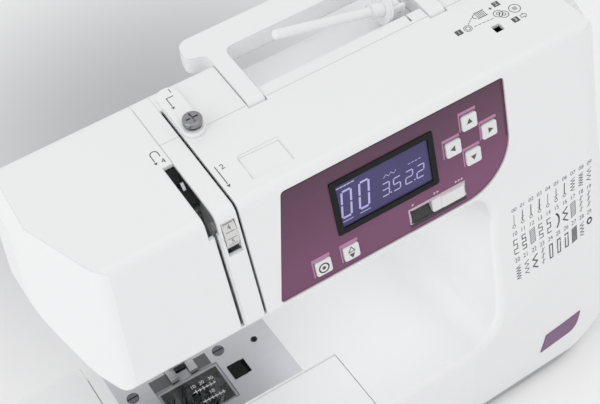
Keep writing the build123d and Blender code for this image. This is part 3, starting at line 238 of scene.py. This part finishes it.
def stroke(ink, points, width, closed=False):
    """Lines of one width from point to point, cut short enough to follow a curved surface."""
    longest = 3.0
    following = points[1:] + points[:1] if closed else points[1:]
    for start, end in zip(points, following):
        start, end = Vector((*start, 0)), Vector((*end, 0))
        run = end - start
        place = (
            Matrix.Translation((start + end) / 2)
            @ Matrix.Rotation(math.atan2(run.y, run.x), 4, "Z")
            @ Matrix.Diagonal((run.length + width, width, 1, 1))
        )
        steps = max(1, int(run.length / longest))
        bmesh.ops.create_grid(ink, x_segments=steps, y_segments=1, size=0.5, matrix=place)


def dot(ink, place, radius, sides=24, turn=0.0):
    """A filled circle, or a regular polygon with a corner at an angle."""
    matrix = Matrix.Translation((*place, 0)) @ Matrix.Rotation(turn - math.pi / 2, 4, "Z")
    bmesh.ops.create_circle(ink, cap_ends=True, segments=sides, radius=radius, matrix=matrix)


def arc(centre, radius, start, end, steps=16):
    """Points along an arc, with its angles in degrees."""
    angles = [math.radians(start + (end - start) * k / steps) for k in range(steps + 1)]
    return [(centre[0] + radius * math.cos(a), centre[1] + radius * math.sin(a)) for a in angles]


def write(ink, words, place, size):
    """Plain figures, centred on a point."""
    curve = bpy.data.curves.new("figures", "FONT")
    curve.body = words
    curve.size = size
    curve.align_x = "CENTER"
    curve.align_y = "CENTER"
    figures = bpy.data.objects.new("figures", curve)
    mesh = bpy.data.meshes.new_from_object(figures)
    mesh.transform(Matrix.Translation((*place, 0)))
    ink.from_mesh(mesh)
    bpy.data.objects.remove(figures)
    bpy.data.curves.remove(curve)
    bpy.data.meshes.remove(mesh)


def arrow_head(ink, tip, size, angle):
    """A filled arrow head whose tip is at a point."""
    turn = math.radians(angle)
    centre = (tip[0] - size * math.cos(turn), tip[1] - size * math.sin(turn))
    dot(ink, centre, size, 3, turn)


def skin(names):
    """The surface of some nodes, to lay ink on."""
    points, faces = [], []
    for name in names:
        solid = nodes[name]
        first = len(points)
        points += [solid.matrix_world @ vertex.co for vertex in solid.data.vertices]
        faces += [[first + i for i in face.vertices] for face in solid.data.polygons]
    return BVHTree.FromPolygons(points, faces)


def add_mesh(name, shape, material):
    """Turns a shape into an object of one material."""
    mesh = bpy.data.meshes.new(name)
    shape.to_mesh(mesh)
    shape.free()
    mesh.materials.append(material)
    piece = bpy.data.objects.new(name, mesh)
    bpy.context.collection.objects.link(piece)
    return piece


def film(name, ink, on_sheet, below, material, body, lift=0.06):
    """Lays flat ink from a sheet on the surface below it, and makes it a piece of the machine."""
    above = Vector((0, 0, 30))
    ink.normal_update()
    bmesh.ops.reverse_faces(ink, faces=[face for face in ink.faces if face.normal.z < 0])
    down = (on_sheet.to_3x3() @ Vector((0, 0, -1))).normalized()
    tree = skin(below)
    for vertex in ink.verts:
        hit = tree.ray_cast(on_sheet @ (vertex.co + above), down)[0]
        landed = on_sheet @ vertex.co if hit is None else hit
        vertex.co = landed - down * lift * mm
    piece = add_mesh(name, ink, material)
    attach(piece, body)
    return piece


print_grey = finish(
    "print_grey", grain_group, Colour=(0.075, 0.080, 0.085), Drift=(0.11, 0.115, 0.12),
    Drift_scale=200.0, Gloss_low=0.4, Gloss_high=0.55, Bump=0.05,
)
seam_grey = finish(
    "seam_grey", grain_group, Colour=(0.44, 0.44, 0.45), Drift=(0.54, 0.54, 0.55), Drift_scale=80.0,
    Gloss_low=0.5, Gloss_high=0.6,
)
seam, fine_seam = 0.35, 0.3
cover_split, face_split = 66.6, 33.0
strip_split = ((33.4, 68.4), (46.2, 68.4))
label_edge = [(94.4, 9.6), (94.6, 30.6), (67.0, 31.6), (66.0, 12.0)]
seams = bmesh.new()
for left, right in ((49.0, 93.0), (107.2, 230.2), (244.2, 316.0)):
    stroke(seams, [(left, cover_split), (right, cover_split)], seam)
stroke(seams, [(face_split, 51.5), (face_split, 113.0)], seam)
stroke(seams, strip_split, fine_seam)
stroke(seams, label_edge, fine_seam)
film(
    "cover_seams", seams, top_sheet, ("face_cover", "thread_strip", "front_cover", "rear_cover"),
    seam_grey, "machine", lift=0.03,
)
mark, mark_head = 0.6, 1.5
guide_line, hook_line, slot_line = 54.1, 24.4, 52.0
marks = bmesh.new()
write(marks, "1", (59.2, 103.4), 5.2)
stroke(marks, [(58.8, 98.5), (guide_line, 98.5), (guide_line, 91.0)], mark)
arrow_head(marks, (guide_line, 87.6), mark_head, -90)
write(marks, "4", (29.3, 56.2), 5.6)
stroke(marks, [(29.4, 61.0), *arc((26.9, 64.0), 2.5, 0, 180, 12), (hook_line, 58.5)], mark)
arrow_head(marks, (hook_line, 55.2), mark_head, -90)
write(marks, "2", (55.9, 31.2), 5.8)
stroke(marks, [(slot_line, 33.4), (slot_line, 18.0)], mark)
arrow_head(marks, (slot_line, 14.6), mark_head, -90)
film(
    "thread_marks", marks, top_sheet, ("face_cover", "front_cover", "thread_guide"), print_grey,
    "machine",
)

# Thread stud: a turned screw in dark nickel on the guide block, with a round cap and a cross slot.
# The thread passes round its neck, between the cap and the flange.
nickel = finish(
    "dark_nickel", grain_group, Colour=(0.40, 0.40, 0.42), Drift=(0.26, 0.26, 0.28), Drift_scale=150.0,
    Gloss_low=0.10, Gloss_high=0.22, Metallic=1.0, Edge=0.0003,
)
dress(nickel, "guide_stud")

# Tension dial: a white moulded wheel on a stud behind its window in the strip, with boxed figures
# printed round its rim.
dial_white = finish(
    "dial_white", grain_group, Colour=(0.72, 0.72, 0.71), Drift=(0.66, 0.66, 0.65),
    Gloss_low=0.35, Gloss_high=0.45, Bump=0.1,
)
dress(dial_white, "tension_dial")
dial_centre, dial_radius = needle + Vector((39.75, -40.5, 158.0)), 16.0
dial_figures, first_figure, first_turn = 10, 4, 30
figure_size, box_width, box_height, box_line = 4.6, 5.8, 5.4, 0.35
for k in range(dial_figures):
    turn = math.radians(first_turn - 360 / dial_figures * k)
    numeral = bmesh.new()
    write(numeral, str((k + first_figure) % dial_figures), (0, 0), figure_size)
    box = [(x * box_width / 2, y * box_height / 2) for x, y in ((-1, -1), (1, -1), (1, 1), (-1, 1))]
    stroke(numeral, box, box_line, True)
    outward = Vector((0, -math.cos(turn), math.sin(turn)))
    rim = dial_centre + outward * dial_radius
    film(
        f"dial_figure_{k}", numeral, sheet(rim, (1, 0, 0), Vector((1, 0, 0)).cross(-outward)),
        ("tension_dial",), print_grey, "tension_dial",
    )


# Control panel: a thin plum plate, painted satin, set into an opening of the front and held by its
# lip from behind. The plum is a little lighter towards the right. Painted shade darkens it towards the
# top, and a narrow band of painted shade lies along the bevel at the top and right.
def plum_paint_with_top_shade():
    """A paint that fades along X between two places, with painted shade that darkens it towards the top,
    and a little flake.
    """
    group, given = effect_group(
        "plum_paint_with_top_shade",
        {
            "Colour": (0.2, 0.1, 0.2, 1), "Fade": (0.3, 0.1, 0.2, 1), "From": -0.05, "To": 0.13,
            "Top": (0.1, 0.04, 0.08, 1), "Top from": 0.236, "Top to": 0.256,
            "Gloss low": 0.3, "Gloss high": 0.4,
        },
    )
    place = add_node(group, "ShaderNodeTexCoord").outputs["Object"]
    apart = add_node(group, "ShaderNodeSeparateXYZ", Vector=place)
    along, rise = (
        add_node(
            group, "ShaderNodeMapRange", Value=apart.outputs[axis], From_Min=given[low],
            From_Max=given[high],
        ).outputs["Result"]
        for axis, low, high in (("X", "From", "To"), ("Z", "Top from", "Top to"))
    )
    flake = add_node(group, "ShaderNodeTexNoise", Vector=place, Scale=2500.0).outputs["Fac"]
    gloss = add_node(
        group, "ShaderNodeMapRange", Value=flake, To_Min=given["Gloss low"], To_Max=given["Gloss high"]
    )
    bump = add_node(group, "ShaderNodeBump", Strength=0.05, Distance=0.0001, Height=flake)
    faded = blend(group, along, given["Colour"], given["Fade"])
    add_node(
        group, "NodeGroupOutput", Colour=blend(group, rise, faded, given["Top"]),
        Roughness=gloss.outputs["Result"], Normal=bump.outputs["Normal"],
    )
    return group


paint_group = plum_paint_with_top_shade()
# The Top colour is painted shade: the plum darkens towards the panel's top, under its lip.
plum = finish(
    "panel_plum", paint_group, Colour=(0.175, 0.062, 0.132), Fade=(0.215, 0.076, 0.165),
    Top=(0.090, 0.038, 0.068), Top_from=0.19, Metallic=0.2,
)
# Painted shade: a darker plum, laid as a band along the bevel at the panel's top and right.
plum_bevel_shade = finish(
    "panel_shade", paint_group, Colour=(0.060, 0.022, 0.045), Fade=(0.090, 0.030, 0.066),
    Top=(0.040, 0.016, 0.030), Metallic=0.2,
)
dress(plum, "control_panel")
panel_left, panel_right, panel_top, bevel_low = 77.6, 238.4, -7.6, -52.0
bevel_path = [(panel_left, panel_top), (panel_right, panel_top), (panel_right, bevel_low)]
bevel_width = 1.8
bevel_shade_band = bmesh.new()
stroke(bevel_shade_band, bevel_path, bevel_width)
film(
    "panel_bevel_shade", bevel_shade_band, front_sheet, ("control_panel",), plum_bevel_shade, "machine",
    lift=0.04,
)

# Display: a gloss black bezel round a backlit screen. Its segments glow pale lavender: two large
# figures, two small settings and the stitch's icons.
gloss_black = finish(
    "bezel_black", grain_group, Colour=(0.008, 0.008, 0.010), Drift=(0.014, 0.014, 0.016),
    Grain_scale=600.0, Gloss_low=0.08, Gloss_high=0.16, Bump=0.02, Specular_IOR_Level=0.15,
)
screen_blue = finish(
    "screen_blue", grain_group, Colour=(0.060, 0.052, 0.150), Drift=(0.090, 0.076, 0.190),
    Drift_scale=30.0, Gloss_low=0.10, Gloss_high=0.2, Specular_IOR_Level=0.2,
)
lit = finish(
    "lit_segment", grain_group, Colour=(0.40, 0.37, 0.66), Drift=(0.46, 0.42, 0.72), Drift_scale=60.0,
    Gloss_low=0.3, Gloss_high=0.4, Emission_Color=(0.50, 0.46, 0.90), Emission_Strength=0.15,
)
dress(gloss_black, "lcd_bezel")
dress(screen_blue, "lcd_screen")
segment_ends = {
    "a": ((0, 2), (1, 2)), "b": ((1, 2), (1, 1)), "c": ((1, 1), (1, 0)), "d": ((0, 0), (1, 0)),
    "e": ((0, 1), (0, 0)), "f": ((0, 2), (0, 1)), "g": ((0, 1), (1, 1)),
}
segments = {"0": "abcdef", "2": "abged", "3": "abgcd", "5": "afgcd"}
segment_lean, segment_trim = 0.14, 0.85


def draw_figure(ink, digit, place, size, width):
    """A figure of lit bars in a leaning box, from its lower left corner."""
    def at(corner):
        x, y = corner[0] * size[0], corner[1] * size[1] / 2
        return (place[0] + x + y * segment_lean, place[1] + y)

    for bar in segments[digit]:
        start, end = (Vector(at(corner)) for corner in segment_ends[bar])
        trim = (end - start).normalized() * width * segment_trim
        stroke(ink, [tuple(start + trim), tuple(end - trim)], width)


large, large_low, large_bar, large_places = (6.8, 19.6), -50.0, 1.5, (112.6, 125.6)
small, small_low, small_bar = (5.2, 9.4), -49.9, 0.85
point_level, point_radius = -49.6, 0.6
underline_level, underline_length, dash_length = -53.0, 7.2, 1.4
glow = bmesh.new()
for left in large_places:
    draw_figure(glow, "0", (left, large_low), large, large_bar)
for digit, left in (("3", 142.4), ("5", 150.8), ("2", 160.0), ("2", 168.6)):
    draw_figure(glow, digit, (left, small_low), small, small_bar)
for left in (149.0, 166.9):
    dot(glow, (left, point_level), point_radius, 8)
for left in (112.6, 125.4):
    stroke(glow, [(left, underline_level), (left + underline_length, underline_level)], 0.6)
peaks = [(145.4 + 1.9 * k, -36.4 + 2.0 * (k % 2)) for k in range(6)]
stroke(glow, peaks, 0.4)
for dashes, left, pitch, level, width in ((4, 164.0, 2.6, -35.4, 0.5), (5, 112.6, 2.7, -26.4, 0.9)):
    for k in range(dashes):
        start = left + pitch * k
        stroke(glow, [(start, level), (start + dash_length, level)], width)
film("lit_segments", glow, front_sheet, ("lcd_screen",), lit, "machine", lift=0.08)

# Keys and slider: square white caps in the panel, each on its flange behind it, with dark printed
# icons, and pink bands of painted highlight at their top and left sides. The slider runs in a pale
# rimmed slot below three speed marks.
key_white = finish(
    "key_white", grain_group, Colour=(0.80, 0.80, 0.80), Drift=(0.76, 0.76, 0.77),
    Gloss_low=0.3, Gloss_high=0.4, Bump=0.05,
)
icon_dark = finish(
    "icon_dark", grain_group, Colour=(0.055, 0.075, 0.062), Drift=(0.08, 0.10, 0.088),
    Drift_scale=200.0, Gloss_low=0.4, Gloss_high=0.5,
)
pale_pink = finish(
    "pale_pink", grain_group, Colour=(0.66, 0.52, 0.60), Drift=(0.60, 0.46, 0.54), Drift_scale=100.0,
    Gloss_low=0.35, Gloss_high=0.45,
)
key_places = {
    "button_up": (211.0, -26.2), "button_down": (211.0, -54.4), "button_left": (196.8, -40.4),
    "button_right": (225.4, -40.4), "button_lock": (92.2, -77.8), "button_needle": (113.1, -77.8),
}
arrow_turns = {"button_up": 90, "button_down": -90, "button_left": 180, "button_right": 0}
arrow_size, ring_radius, ring_line, ring_dot, needle_tip = 2.6, 3.4, 0.9, 1.3, 2.5
dress(key_white, *key_places, "speed_slider")
for key, angle in arrow_turns.items():
    icon = bmesh.new()
    dot(icon, key_places[key], arrow_size, 3, math.radians(angle))
    film(f"{key}_icon", icon, front_sheet, (key,), icon_dark, key)
lock_icon = bmesh.new()
stroke(lock_icon, arc(key_places["button_lock"], ring_radius, 0, 360, 32), ring_line)
dot(lock_icon, key_places["button_lock"], ring_dot)
film(
    "button_lock_icon", lock_icon, front_sheet, ("button_lock",), icon_dark, "button_lock",
)
needle_icon = bmesh.new()
x, y = key_places["button_needle"]
stroke(needle_icon, [(x - 2.3, y + 1.0), (x + 2.3, y + 1.0), (x, y + 4.8)], 0.6, True)
dot(needle_icon, (x, y - 1.8), needle_tip, 3, -math.pi / 2)
film(
    "button_needle_icon", needle_icon, front_sheet, ("button_needle",), icon_dark, "button_needle",
)
mark_level, mark_pitch, mark_size = -68.0, 2.3, 1.25
speed_marks = bmesh.new()
for count, place in ((1, 162.0), (2, 180.2), (3, 198.2)):
    for k in range(count):
        dot(speed_marks, (place + (k - (count - 1) / 2) * mark_pitch, mark_level), mark_size, 3)
slot_left, slot_right, slot_top, slot_low = 158.6, 202.0, -70.8, -82.6
slot_middle, slot_rim = (slot_top + slot_low) / 2, 0.9
rim_path = [(slot_left, slot_top), (slot_right, slot_top), (slot_right, slot_low), (slot_left, slot_low)]
stroke(speed_marks, rim_path, slot_rim, True)
film("speed_marks", speed_marks, front_sheet, ("control_panel",), pale_pink, "machine")
shade_left, shade_right, shade_width = 166.0, 194.0, 16.0
slot_shade = bmesh.new()
stroke(slot_shade, [(shade_left, slot_middle), (shade_right, slot_middle)], shade_width)
film("slot_shade", slot_shade, front_sheet, ("control_board",), motor_black, "machine")
# Painted highlight: pink bands at each key's top and left side, and along the panel's lower edge, for
# the lit walls and edges there.
pink_rim_highlight = finish(
    "pink_rim_highlight", grain_group, Colour=(0.50, 0.235, 0.40), Drift=(0.44, 0.20, 0.35), Drift_scale=100.0,
    Gloss_low=0.3, Gloss_high=0.4,
)
rim_side, rim_above, panel_low = 6.8, 7.5, -88.1
side_rim, top_rim, low_rim = 1.0, 2.4, 0.8
rim_highlights = bmesh.new()
for x, y in key_places.values():
    stroke(rim_highlights, [(x - rim_side, y - 5.4), (x - rim_side, y + 6.2)], side_rim)
    stroke(rim_highlights, [(x - 6.0, y + rim_above), (x + 5.0, y + rim_above)], top_rim)
for left, right in ((86.6, 97.4), (107.6, 118.6), (158.8, 175.6)):
    stroke(rim_highlights, [(left, panel_low), (right, panel_low)], low_rim)
film("key_rim_highlights", rim_highlights, front_sheet, ("control_panel",), pink_rim_highlight, "machine", lift=0.05)
pad_size, pad_middle, pad_round = (17.6, 9.4, 1.6, 1), (191.6, slot_middle, 0.0), 0.5
pad = bmesh.new()
bmesh.ops.create_cube(pad, size=1.0, matrix=Matrix.Diagonal(pad_size))
bmesh.ops.bevel(
    pad, geom=pad.edges[:], offset=pad_round, segments=3, profile=0.5, affect="EDGES", material=-1
)
bmesh.ops.transform(pad, matrix=front_sheet @ Matrix.Translation(pad_middle), verts=pad.verts[:])
slider_pad = add_mesh("slider_pad", pad, key_white)
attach(slider_pad, "speed_slider")

# Stitch chart: ten columns of three numbered stitches, printed in grey on the tower's front. Each
# icon is a plain drawing of a stitch.
chart_corners = ((235.2, 65.8), (301.8, 68.3), (224.8, 37.6), (294.6, 32.0))
columns, rows = 10, 3
column, row = 7.4, 20.0
stitch_top, stitch_low, number_size = 4.6, 15.0, 4.5


def zigzag(left, right, low, high, peaks):
    """A zigzag down a cell."""
    return [(left if k % 2 else right, high + (low - high) * k / peaks) for k in range(peaks + 1)]


def steps_down(left, right, low, high, count):
    """A square wave down a cell."""
    path = []
    for k in range(count + 1):
        level = high + (low - high) * k / count
        path += [(left, level), (right, level)] if k % 2 else [(right, level), (left, level)]
    return path


def stitch(ink, number, x, y):
    """One stitch, drawn below its number in a cell whose top middle is a point."""
    low, high = y - stitch_low, y - stitch_top
    if number in (7, 8, 9, 20, 21, 28):
        stroke(ink, zigzag(x - 1.8, x + 1.8, low, high, 6 + 2 * (number % 3)), 0.5)
    elif number in (16, 22):
        stroke(ink, zigzag(x - 2.0, x + 2.0, low, high, 4), 1.0)
    elif number in (10, 11, 13, 14):
        stroke(ink, steps_down(x - 1.6, x + 1.4, low, high, 3 + number % 2), 0.55 + 0.1 * (number % 3))
    elif number == 15:
        stroke(ink, arc((x - 5.2, y - 9.8), 7.0, -46, 46, 12), 1.3)
    elif number in (12, 17, 27):
        lines = 6 + number % 5
        for k in range(lines + 1):
            level = low + (high - low) * k / lines
            stroke(ink, [(x - 2.0, level), (x + 2.0, level + 0.8)], 0.5 if number < 27 else 1.0)
        stroke(ink, [(x - 2.1, low), (x - 2.1, high)], 0.4)
        stroke(ink, [(x + 2.1, low + 0.8), (x + 2.1, high + 0.8)], 0.4)
    elif number in (24, 25, 26):
        box = [(x - 1.3, low), (x + 1.3, low), (x + 1.3, high), (x - 1.3, high)]
        stroke(ink, box, 0.95, True)
    elif number == 29:
        stroke(ink, arc((x, y - 7.0), 2.0, 0, 360, 20), 1.2)
    elif number in (18, 19, 23):
        for k in range(3):
            level = high - 4.4 * k
            stroke(ink, [(x - 1.5, level - 1.4), (x + 1.5, level + 1.0)], 0.45)
            stroke(ink, [(x, level + 1.6), (x, level - 2.0)], 0.45)
    else:
        stroke(ink, [(x, high), (x, low + 2.2)], 0.45 + 0.18 * (number % columns % 4))
        stroke(ink, arc((x, low + 1.0), 1.2, 0, 360, 12), 0.4)
        if number % 2:
            stroke(ink, [(x - 1.4, low + 4.0), (x + 1.4, low + 5.2)], 0.4)


chart = bmesh.new()
for number in range(columns * rows):
    x, y = column * (number % columns), -row * (number // columns)
    write(chart, f"{number:02d}", (x, y), number_size)
    stitch(chart, number, x, y)
first, last, low_first, low_last = (Vector((*corner, 0)) for corner in chart_corners)
for vertex in chart.verts:
    across, fall = vertex.co.x / ((columns - 1) * column), -vertex.co.y / ((rows - 1) * row)
    vertex.co = first.lerp(last, across).lerp(low_first.lerp(low_last, across), fall)
film("stitch_chart", chart, upright_sheet, ("front_cover",), print_grey, "machine")

# Winding diagram: a small printed drawing on the top that shows the thread's way from the spool
# past a disc to the bobbin, with three boxed figures.
diagram_line, thin_line, plus_line = 0.45, 0.4, 0.6
box_side, box_number = 4.6, 4.2
pin_middle, bobbin_middle, plus_middle = (244.0, 41.6), (279.4, 39.2), (266.6, 48.4)
diagram = bmesh.new()
boxes = {"1": (237.1, 41.8), "2": (272.1, 49.7), "3": (273.4, 30.3)}
for x, y in boxes.values():
    stroke(diagram, [(x - 0.1, y), (x + 0.1, y)], box_side)
for radius in (2.7, 1.5):
    stroke(diagram, arc(pin_middle, radius, 0, 360, 24), thin_line)
for start, end, count in (((246.2, 44.4), (252.2, 48.6), 3), ((248.2, 40.6), (263.6, 39.6), 5)):
    start, end = Vector(start), Vector(end)
    for k in range(count):
        dash = (start.lerp(end, (k + 0.1) / count), start.lerp(end, (k + 0.65) / count))
        stroke(diagram, [tuple(point) for point in dash], diagram_line)
spool_low, spool_high = 44.9, 50.6
for k in range(6):
    x = 255.4 + 1.2 * k
    stroke(diagram, [(x, spool_low), (x, spool_high)], diagram_line)
for level in (spool_low, spool_high):
    stroke(diagram, [(254.6, level), (262.2, level)], diagram_line)
stroke(diagram, arc((254.2, 47.8), 1.7, 90, 270, 10), diagram_line)
x, y = plus_middle
stroke(diagram, [(x - 1.0, y), (x + 1.0, y)], plus_line)
stroke(diagram, [(x, y - 1.0), (x, y + 1.0)], plus_line)
for centre in ((267.8, 41.4), (270.6, 38.8)):
    stroke(diagram, arc(centre, 3.1, 0, 360, 24), diagram_line)
    stroke(diagram, arc(centre, 1.2, 0, 360, 16), thin_line)
stroke(diagram, arc(bobbin_middle, 3.8, 0, 360, 28), diagram_line)
x, y = bobbin_middle
for k in range(4):
    level = y - 1.2 + 0.8 * k
    stroke(diagram, [(x - 1.4, level), (x + 1.4, level)], 0.35)
arrow_path = [
    (277.8, 29.4), (280.0, 29.4), (280.0, 28.2), (282.2, 30.6), (280.0, 32.8), (280.0, 31.6),
    (277.8, 31.6),
]
stroke(diagram, arrow_path, thin_line, True)
film("winding_diagram", diagram, top_sheet, ("front_cover",), print_grey, "machine")
numbers = bmesh.new()
for words, place in boxes.items():
    write(numbers, words, place, box_number)
film(
    "winding_numbers", numbers, top_sheet, ("front_cover",), key_white, "machine",
    lift=0.12,
)

# Badge: a plain plum plate, cut from thin sheet to a leaning shape with one round corner. It is stuck
# on the tower's foot.
badge_corners = ((234.5, -58.6), (268.6, -57.6), (240.4, -44.8), (274.2, -44.6))
badge_round, badge_lift, badge_thickness = 7.0, 0.7, 0.9
low_left, low_right, high_left, high_right = (Vector((*corner, 0)) for corner in badge_corners)
badge = bmesh.new()
bmesh.ops.create_grid(badge, x_segments=1, y_segments=1, size=0.5)
for vertex in badge.verts:
    x, y = vertex.co.x + 0.5, vertex.co.y + 0.5
    vertex.co = low_left.lerp(low_right, x).lerp(high_left.lerp(high_right, x), y)
round_corner = [vertex for vertex in badge.verts if (vertex.co - low_right).length < 1]
bmesh.ops.bevel(
    badge, geom=round_corner, offset=badge_round, segments=6, profile=0.5, affect="VERTICES", material=-1
)
badge_plum = finish(
    "badge_plum", grain_group, Colour=(0.235, 0.125, 0.235), Drift=(0.200, 0.100, 0.200),
    Drift_scale=60.0, Grain_scale=1500.0, Gloss_low=0.35, Gloss_high=0.5, Bump=0.3,
)
badge_plate = film(
    "badge_plate", badge, upright_sheet, ("front_cover",), badge_plum, "machine",
    badge_lift,
)
thick = badge_plate.modifiers.new("thickness", "SOLIDIFY")
thick.thickness = badge_thickness * mm
thick.offset = -1.0

# Needle plate: brushed steel screwed to the bed, with the feed dog's slots. Two dark strips beside
# the foot are painted shade, where the head above shades the plate. The hook and bobbin turn under a
# clear cover beside a black release button.
plate_steel = finish(
    "plate_steel", steel_group, Colour=(0.66, 0.665, 0.69), Line=(0.56, 0.565, 0.59), Bump=0.25,
    Gloss_low=0.28, Gloss_high=0.42, Metallic=1.0,
)
# Painted shade: darker plate steel for the two strips beside the foot, where the head shades the plate.
plate_shade_steel = finish(
    "plate_shade_steel", steel_group, Colour=(0.20, 0.205, 0.215), Line=(0.13, 0.132, 0.14), Bump=0.4,
    Along=(2600.0, 40.0, 2600.0), Gloss_low=0.35, Gloss_high=0.5, Metallic=0.8,
)
hook_dark = finish(
    "hook_dark", steel_group, Colour=(0.20, 0.20, 0.22), Line=(0.14, 0.14, 0.16), Bump=0.1,
    Metallic=1.0,
)
clear = finish(
    "cover_clear", grain_group, Colour=(0.93, 0.94, 0.95), Drift=(0.90, 0.91, 0.92),
    Gloss_low=0.02, Gloss_high=0.06, Bump=0.01, Transmission_Weight=1.0, IOR=1.49,
)
dress(plate_steel, "needle_plate", "feed_dog")
dress(hook_dark, "hook", "plate_screws")
dress(clear, "bobbin_cover", "bobbin")
dress(gloss_black, "cover_release")
shade_strip_ends = ((-23.8, -9.8), (8.6, 20.6))
shade_strip_middle, shade_strip_width, shade_strip_edge, edge_line = -2.2, 11.0, -7.9, 0.5
shade_strips = bmesh.new()
for left, right in shade_strip_ends:
    inner = (left + shade_strip_width / 2, shade_strip_middle), (right - shade_strip_width / 2, shade_strip_middle)
    stroke(shade_strips, inner, shade_strip_width)
film(
    "plate_shade_strips", shade_strips, bed_sheet, ("needle_plate",), plate_shade_steel, "machine",
    lift=0.1,
)
pin_place, pin_radius, pin_ring, ring_width = (55.0, -7.3), 1.7, 2.1, 0.6
edges = bmesh.new()
for left, right in shade_strip_ends:
    stroke(edges, [(left, shade_strip_edge), (right, shade_strip_edge)], edge_line)
stroke(edges, arc(pin_place, pin_ring, 0, 360, 24), ring_width)
film("plate_edges", edges, bed_sheet, ("needle_plate",), bright_steel, "machine", lift=0.2)
pin = bmesh.new()
dot(pin, pin_place, pin_radius)
film("plate_pin", pin, bed_sheet, ("needle_plate",), gloss_black, "machine", lift=0.1)
ticks, first_tick, tick_pitch = 6, 0.4, 2.8
cover_line, line_number = 0.5, 3.9
guide_lines = bmesh.new()
stroke(guide_lines, [(-1.6, -22.8), (15.2, -23.4)], cover_line)
stroke(guide_lines, [(0.4, -33.4), (17.0, -34.0)], cover_line)
for k in range(ticks):
    x = first_tick + tick_pitch * k
    stroke(guide_lines, [(x, -21.4 - (k % 2) * 0.6), (x, -24.6 + (k % 2) * 0.6)], 0.45)
    stroke(guide_lines, [(x + 1.6, -32.4), (x + 1.6, -35.0)], 0.4)
for words, place in (
    ("10", (0.2, -18.2)), ("20", (6.8, -18.2)), ("30", (13.8, -18.4)), ("10", (9.4, -29.0)),
):
    write(guide_lines, words, place, line_number)
film(
    "cover_lines", guide_lines, bed_sheet, ("bobbin_cover",), key_white, "bobbin_cover",
    lift=0.05,
)


# Floor: a broad pale sheet that the machine stands on. It is greyer in a wide soft patch behind the
# machine, where the studio's light falls off, and it keeps the machine's own shadow.
def shaded_paper():
    """Paper that is greyer round a place, with a fine tooth."""
    group, given = effect_group(
        "shaded_paper",
        {
            "Colour": (0.9, 0.9, 0.9, 1), "Shade": (0.5, 0.5, 0.5, 1), "Middle": (0.02, 0.34, 0.0),
            "Reach": 0.40,
        },
    )
    place = add_node(group, "ShaderNodeTexCoord").outputs["Object"]
    apart = group.nodes.new("ShaderNodeVectorMath")
    apart.operation = "DISTANCE"
    group.links.new(place, apart.inputs[0])
    group.links.new(given["Middle"], apart.inputs[1])
    fade = add_node(
        group, "ShaderNodeMapRange", Value=apart.outputs["Value"], From_Max=given["Reach"]
    )
    fade.interpolation_type = "SMOOTHSTEP"
    tooth = add_node(group, "ShaderNodeTexNoise", Vector=place, Scale=300.0).outputs["Fac"]
    dull = add_node(group, "ShaderNodeMapRange", Value=tooth, To_Min=0.8, To_Max=0.95)
    bump = add_node(group, "ShaderNodeBump", Strength=0.02, Distance=0.0001, Height=tooth)
    add_node(
        group, "NodeGroupOutput",
        Colour=blend(group, fade.outputs["Result"], given["Shade"], given["Colour"]),
        Roughness=dull.outputs["Result"], Normal=bump.outputs["Normal"],
    )
    return group


floor_paper = finish(
    "floor_paper", shaded_paper(), Colour=(0.95, 0.95, 0.955), Shade=(0.48, 0.485, 0.50),
)
floor_reach = 4.0
floor_sheet = bmesh.new()
bmesh.ops.create_grid(floor_sheet, x_segments=1, y_segments=1, size=floor_reach)
floor = add_mesh("floor", floor_sheet, floor_paper)

# Light: an even pale room with soft lamps above, at the left and low in front, and a faint one under
# the arm, which lights the bed as the sewing lamp would. The soft shadow lies behind the machine.
room_light = 0.83
world = bpy.data.worlds.new("studio")
bpy.context.scene.world = world
world.use_nodes = True
room = world.node_tree.nodes["Background"].inputs
room["Color"].default_value = (1, 1, 1, 1)
room["Strength"].default_value = room_light
machine_middle, bed_middle = (0, 0, 0.1), (0.02, 0.01, 0.0)
for label, place, aim, size, power in (
    ("overhead", (0.1, -0.2, 1.8), machine_middle, 1.6, 2.6),
    ("left", (-1.8, -0.3, 0.9), machine_middle, 1.5, 6.0),
    ("low_front", (0.15, -1.5, 0.7), machine_middle, 1.2, 0.8),
    ("under_arm", (0.02, 0.0, 0.162), bed_middle, 0.12, 0.024),
):
    lamp = bpy.data.lights.new(label, "AREA")
    lamp.size = size
    lamp.energy = power
    lamp_object = bpy.data.objects.new(label, lamp)
    lamp_object.location = place
    lamp_object.visible_camera = False
    lamp_object.rotation_euler = (Vector(aim) - Vector(place)).to_track_quat("-Z", "Y").to_euler()
    bpy.context.collection.objects.link(lamp_object)

# Camera: the photograph's view, from the front left and well above, rolled a little. Its directions
# and place follow the straight edges of the top, the front, the display and the bed.
view_right = Vector((0.84848, -0.51461, -0.12355))
view_up = Vector((0.44559, 0.56869, 0.69141))
view_back = Vector((-0.28554, -0.64170, 0.71182))
view_place = (-0.2474, -0.5464, 0.7980)
focal_pixels, picture_width, sensor_width = 1309.7, 600, 36.0
camera_data = bpy.data.cameras.new("camera")
camera_data.sensor_width = sensor_width
camera_data.lens = sensor_width * focal_pixels / picture_width
camera = bpy.data.objects.new("camera", camera_data)
view_turn = Matrix((view_right, view_up, view_back)).transposed().to_4x4()
camera.matrix_world = Matrix.Translation(view_place) @ view_turn
bpy.context.collection.objects.link(camera)
bpy.context.scene.camera = camera

bpy.context.scene.view_settings.view_transform = "Standard"
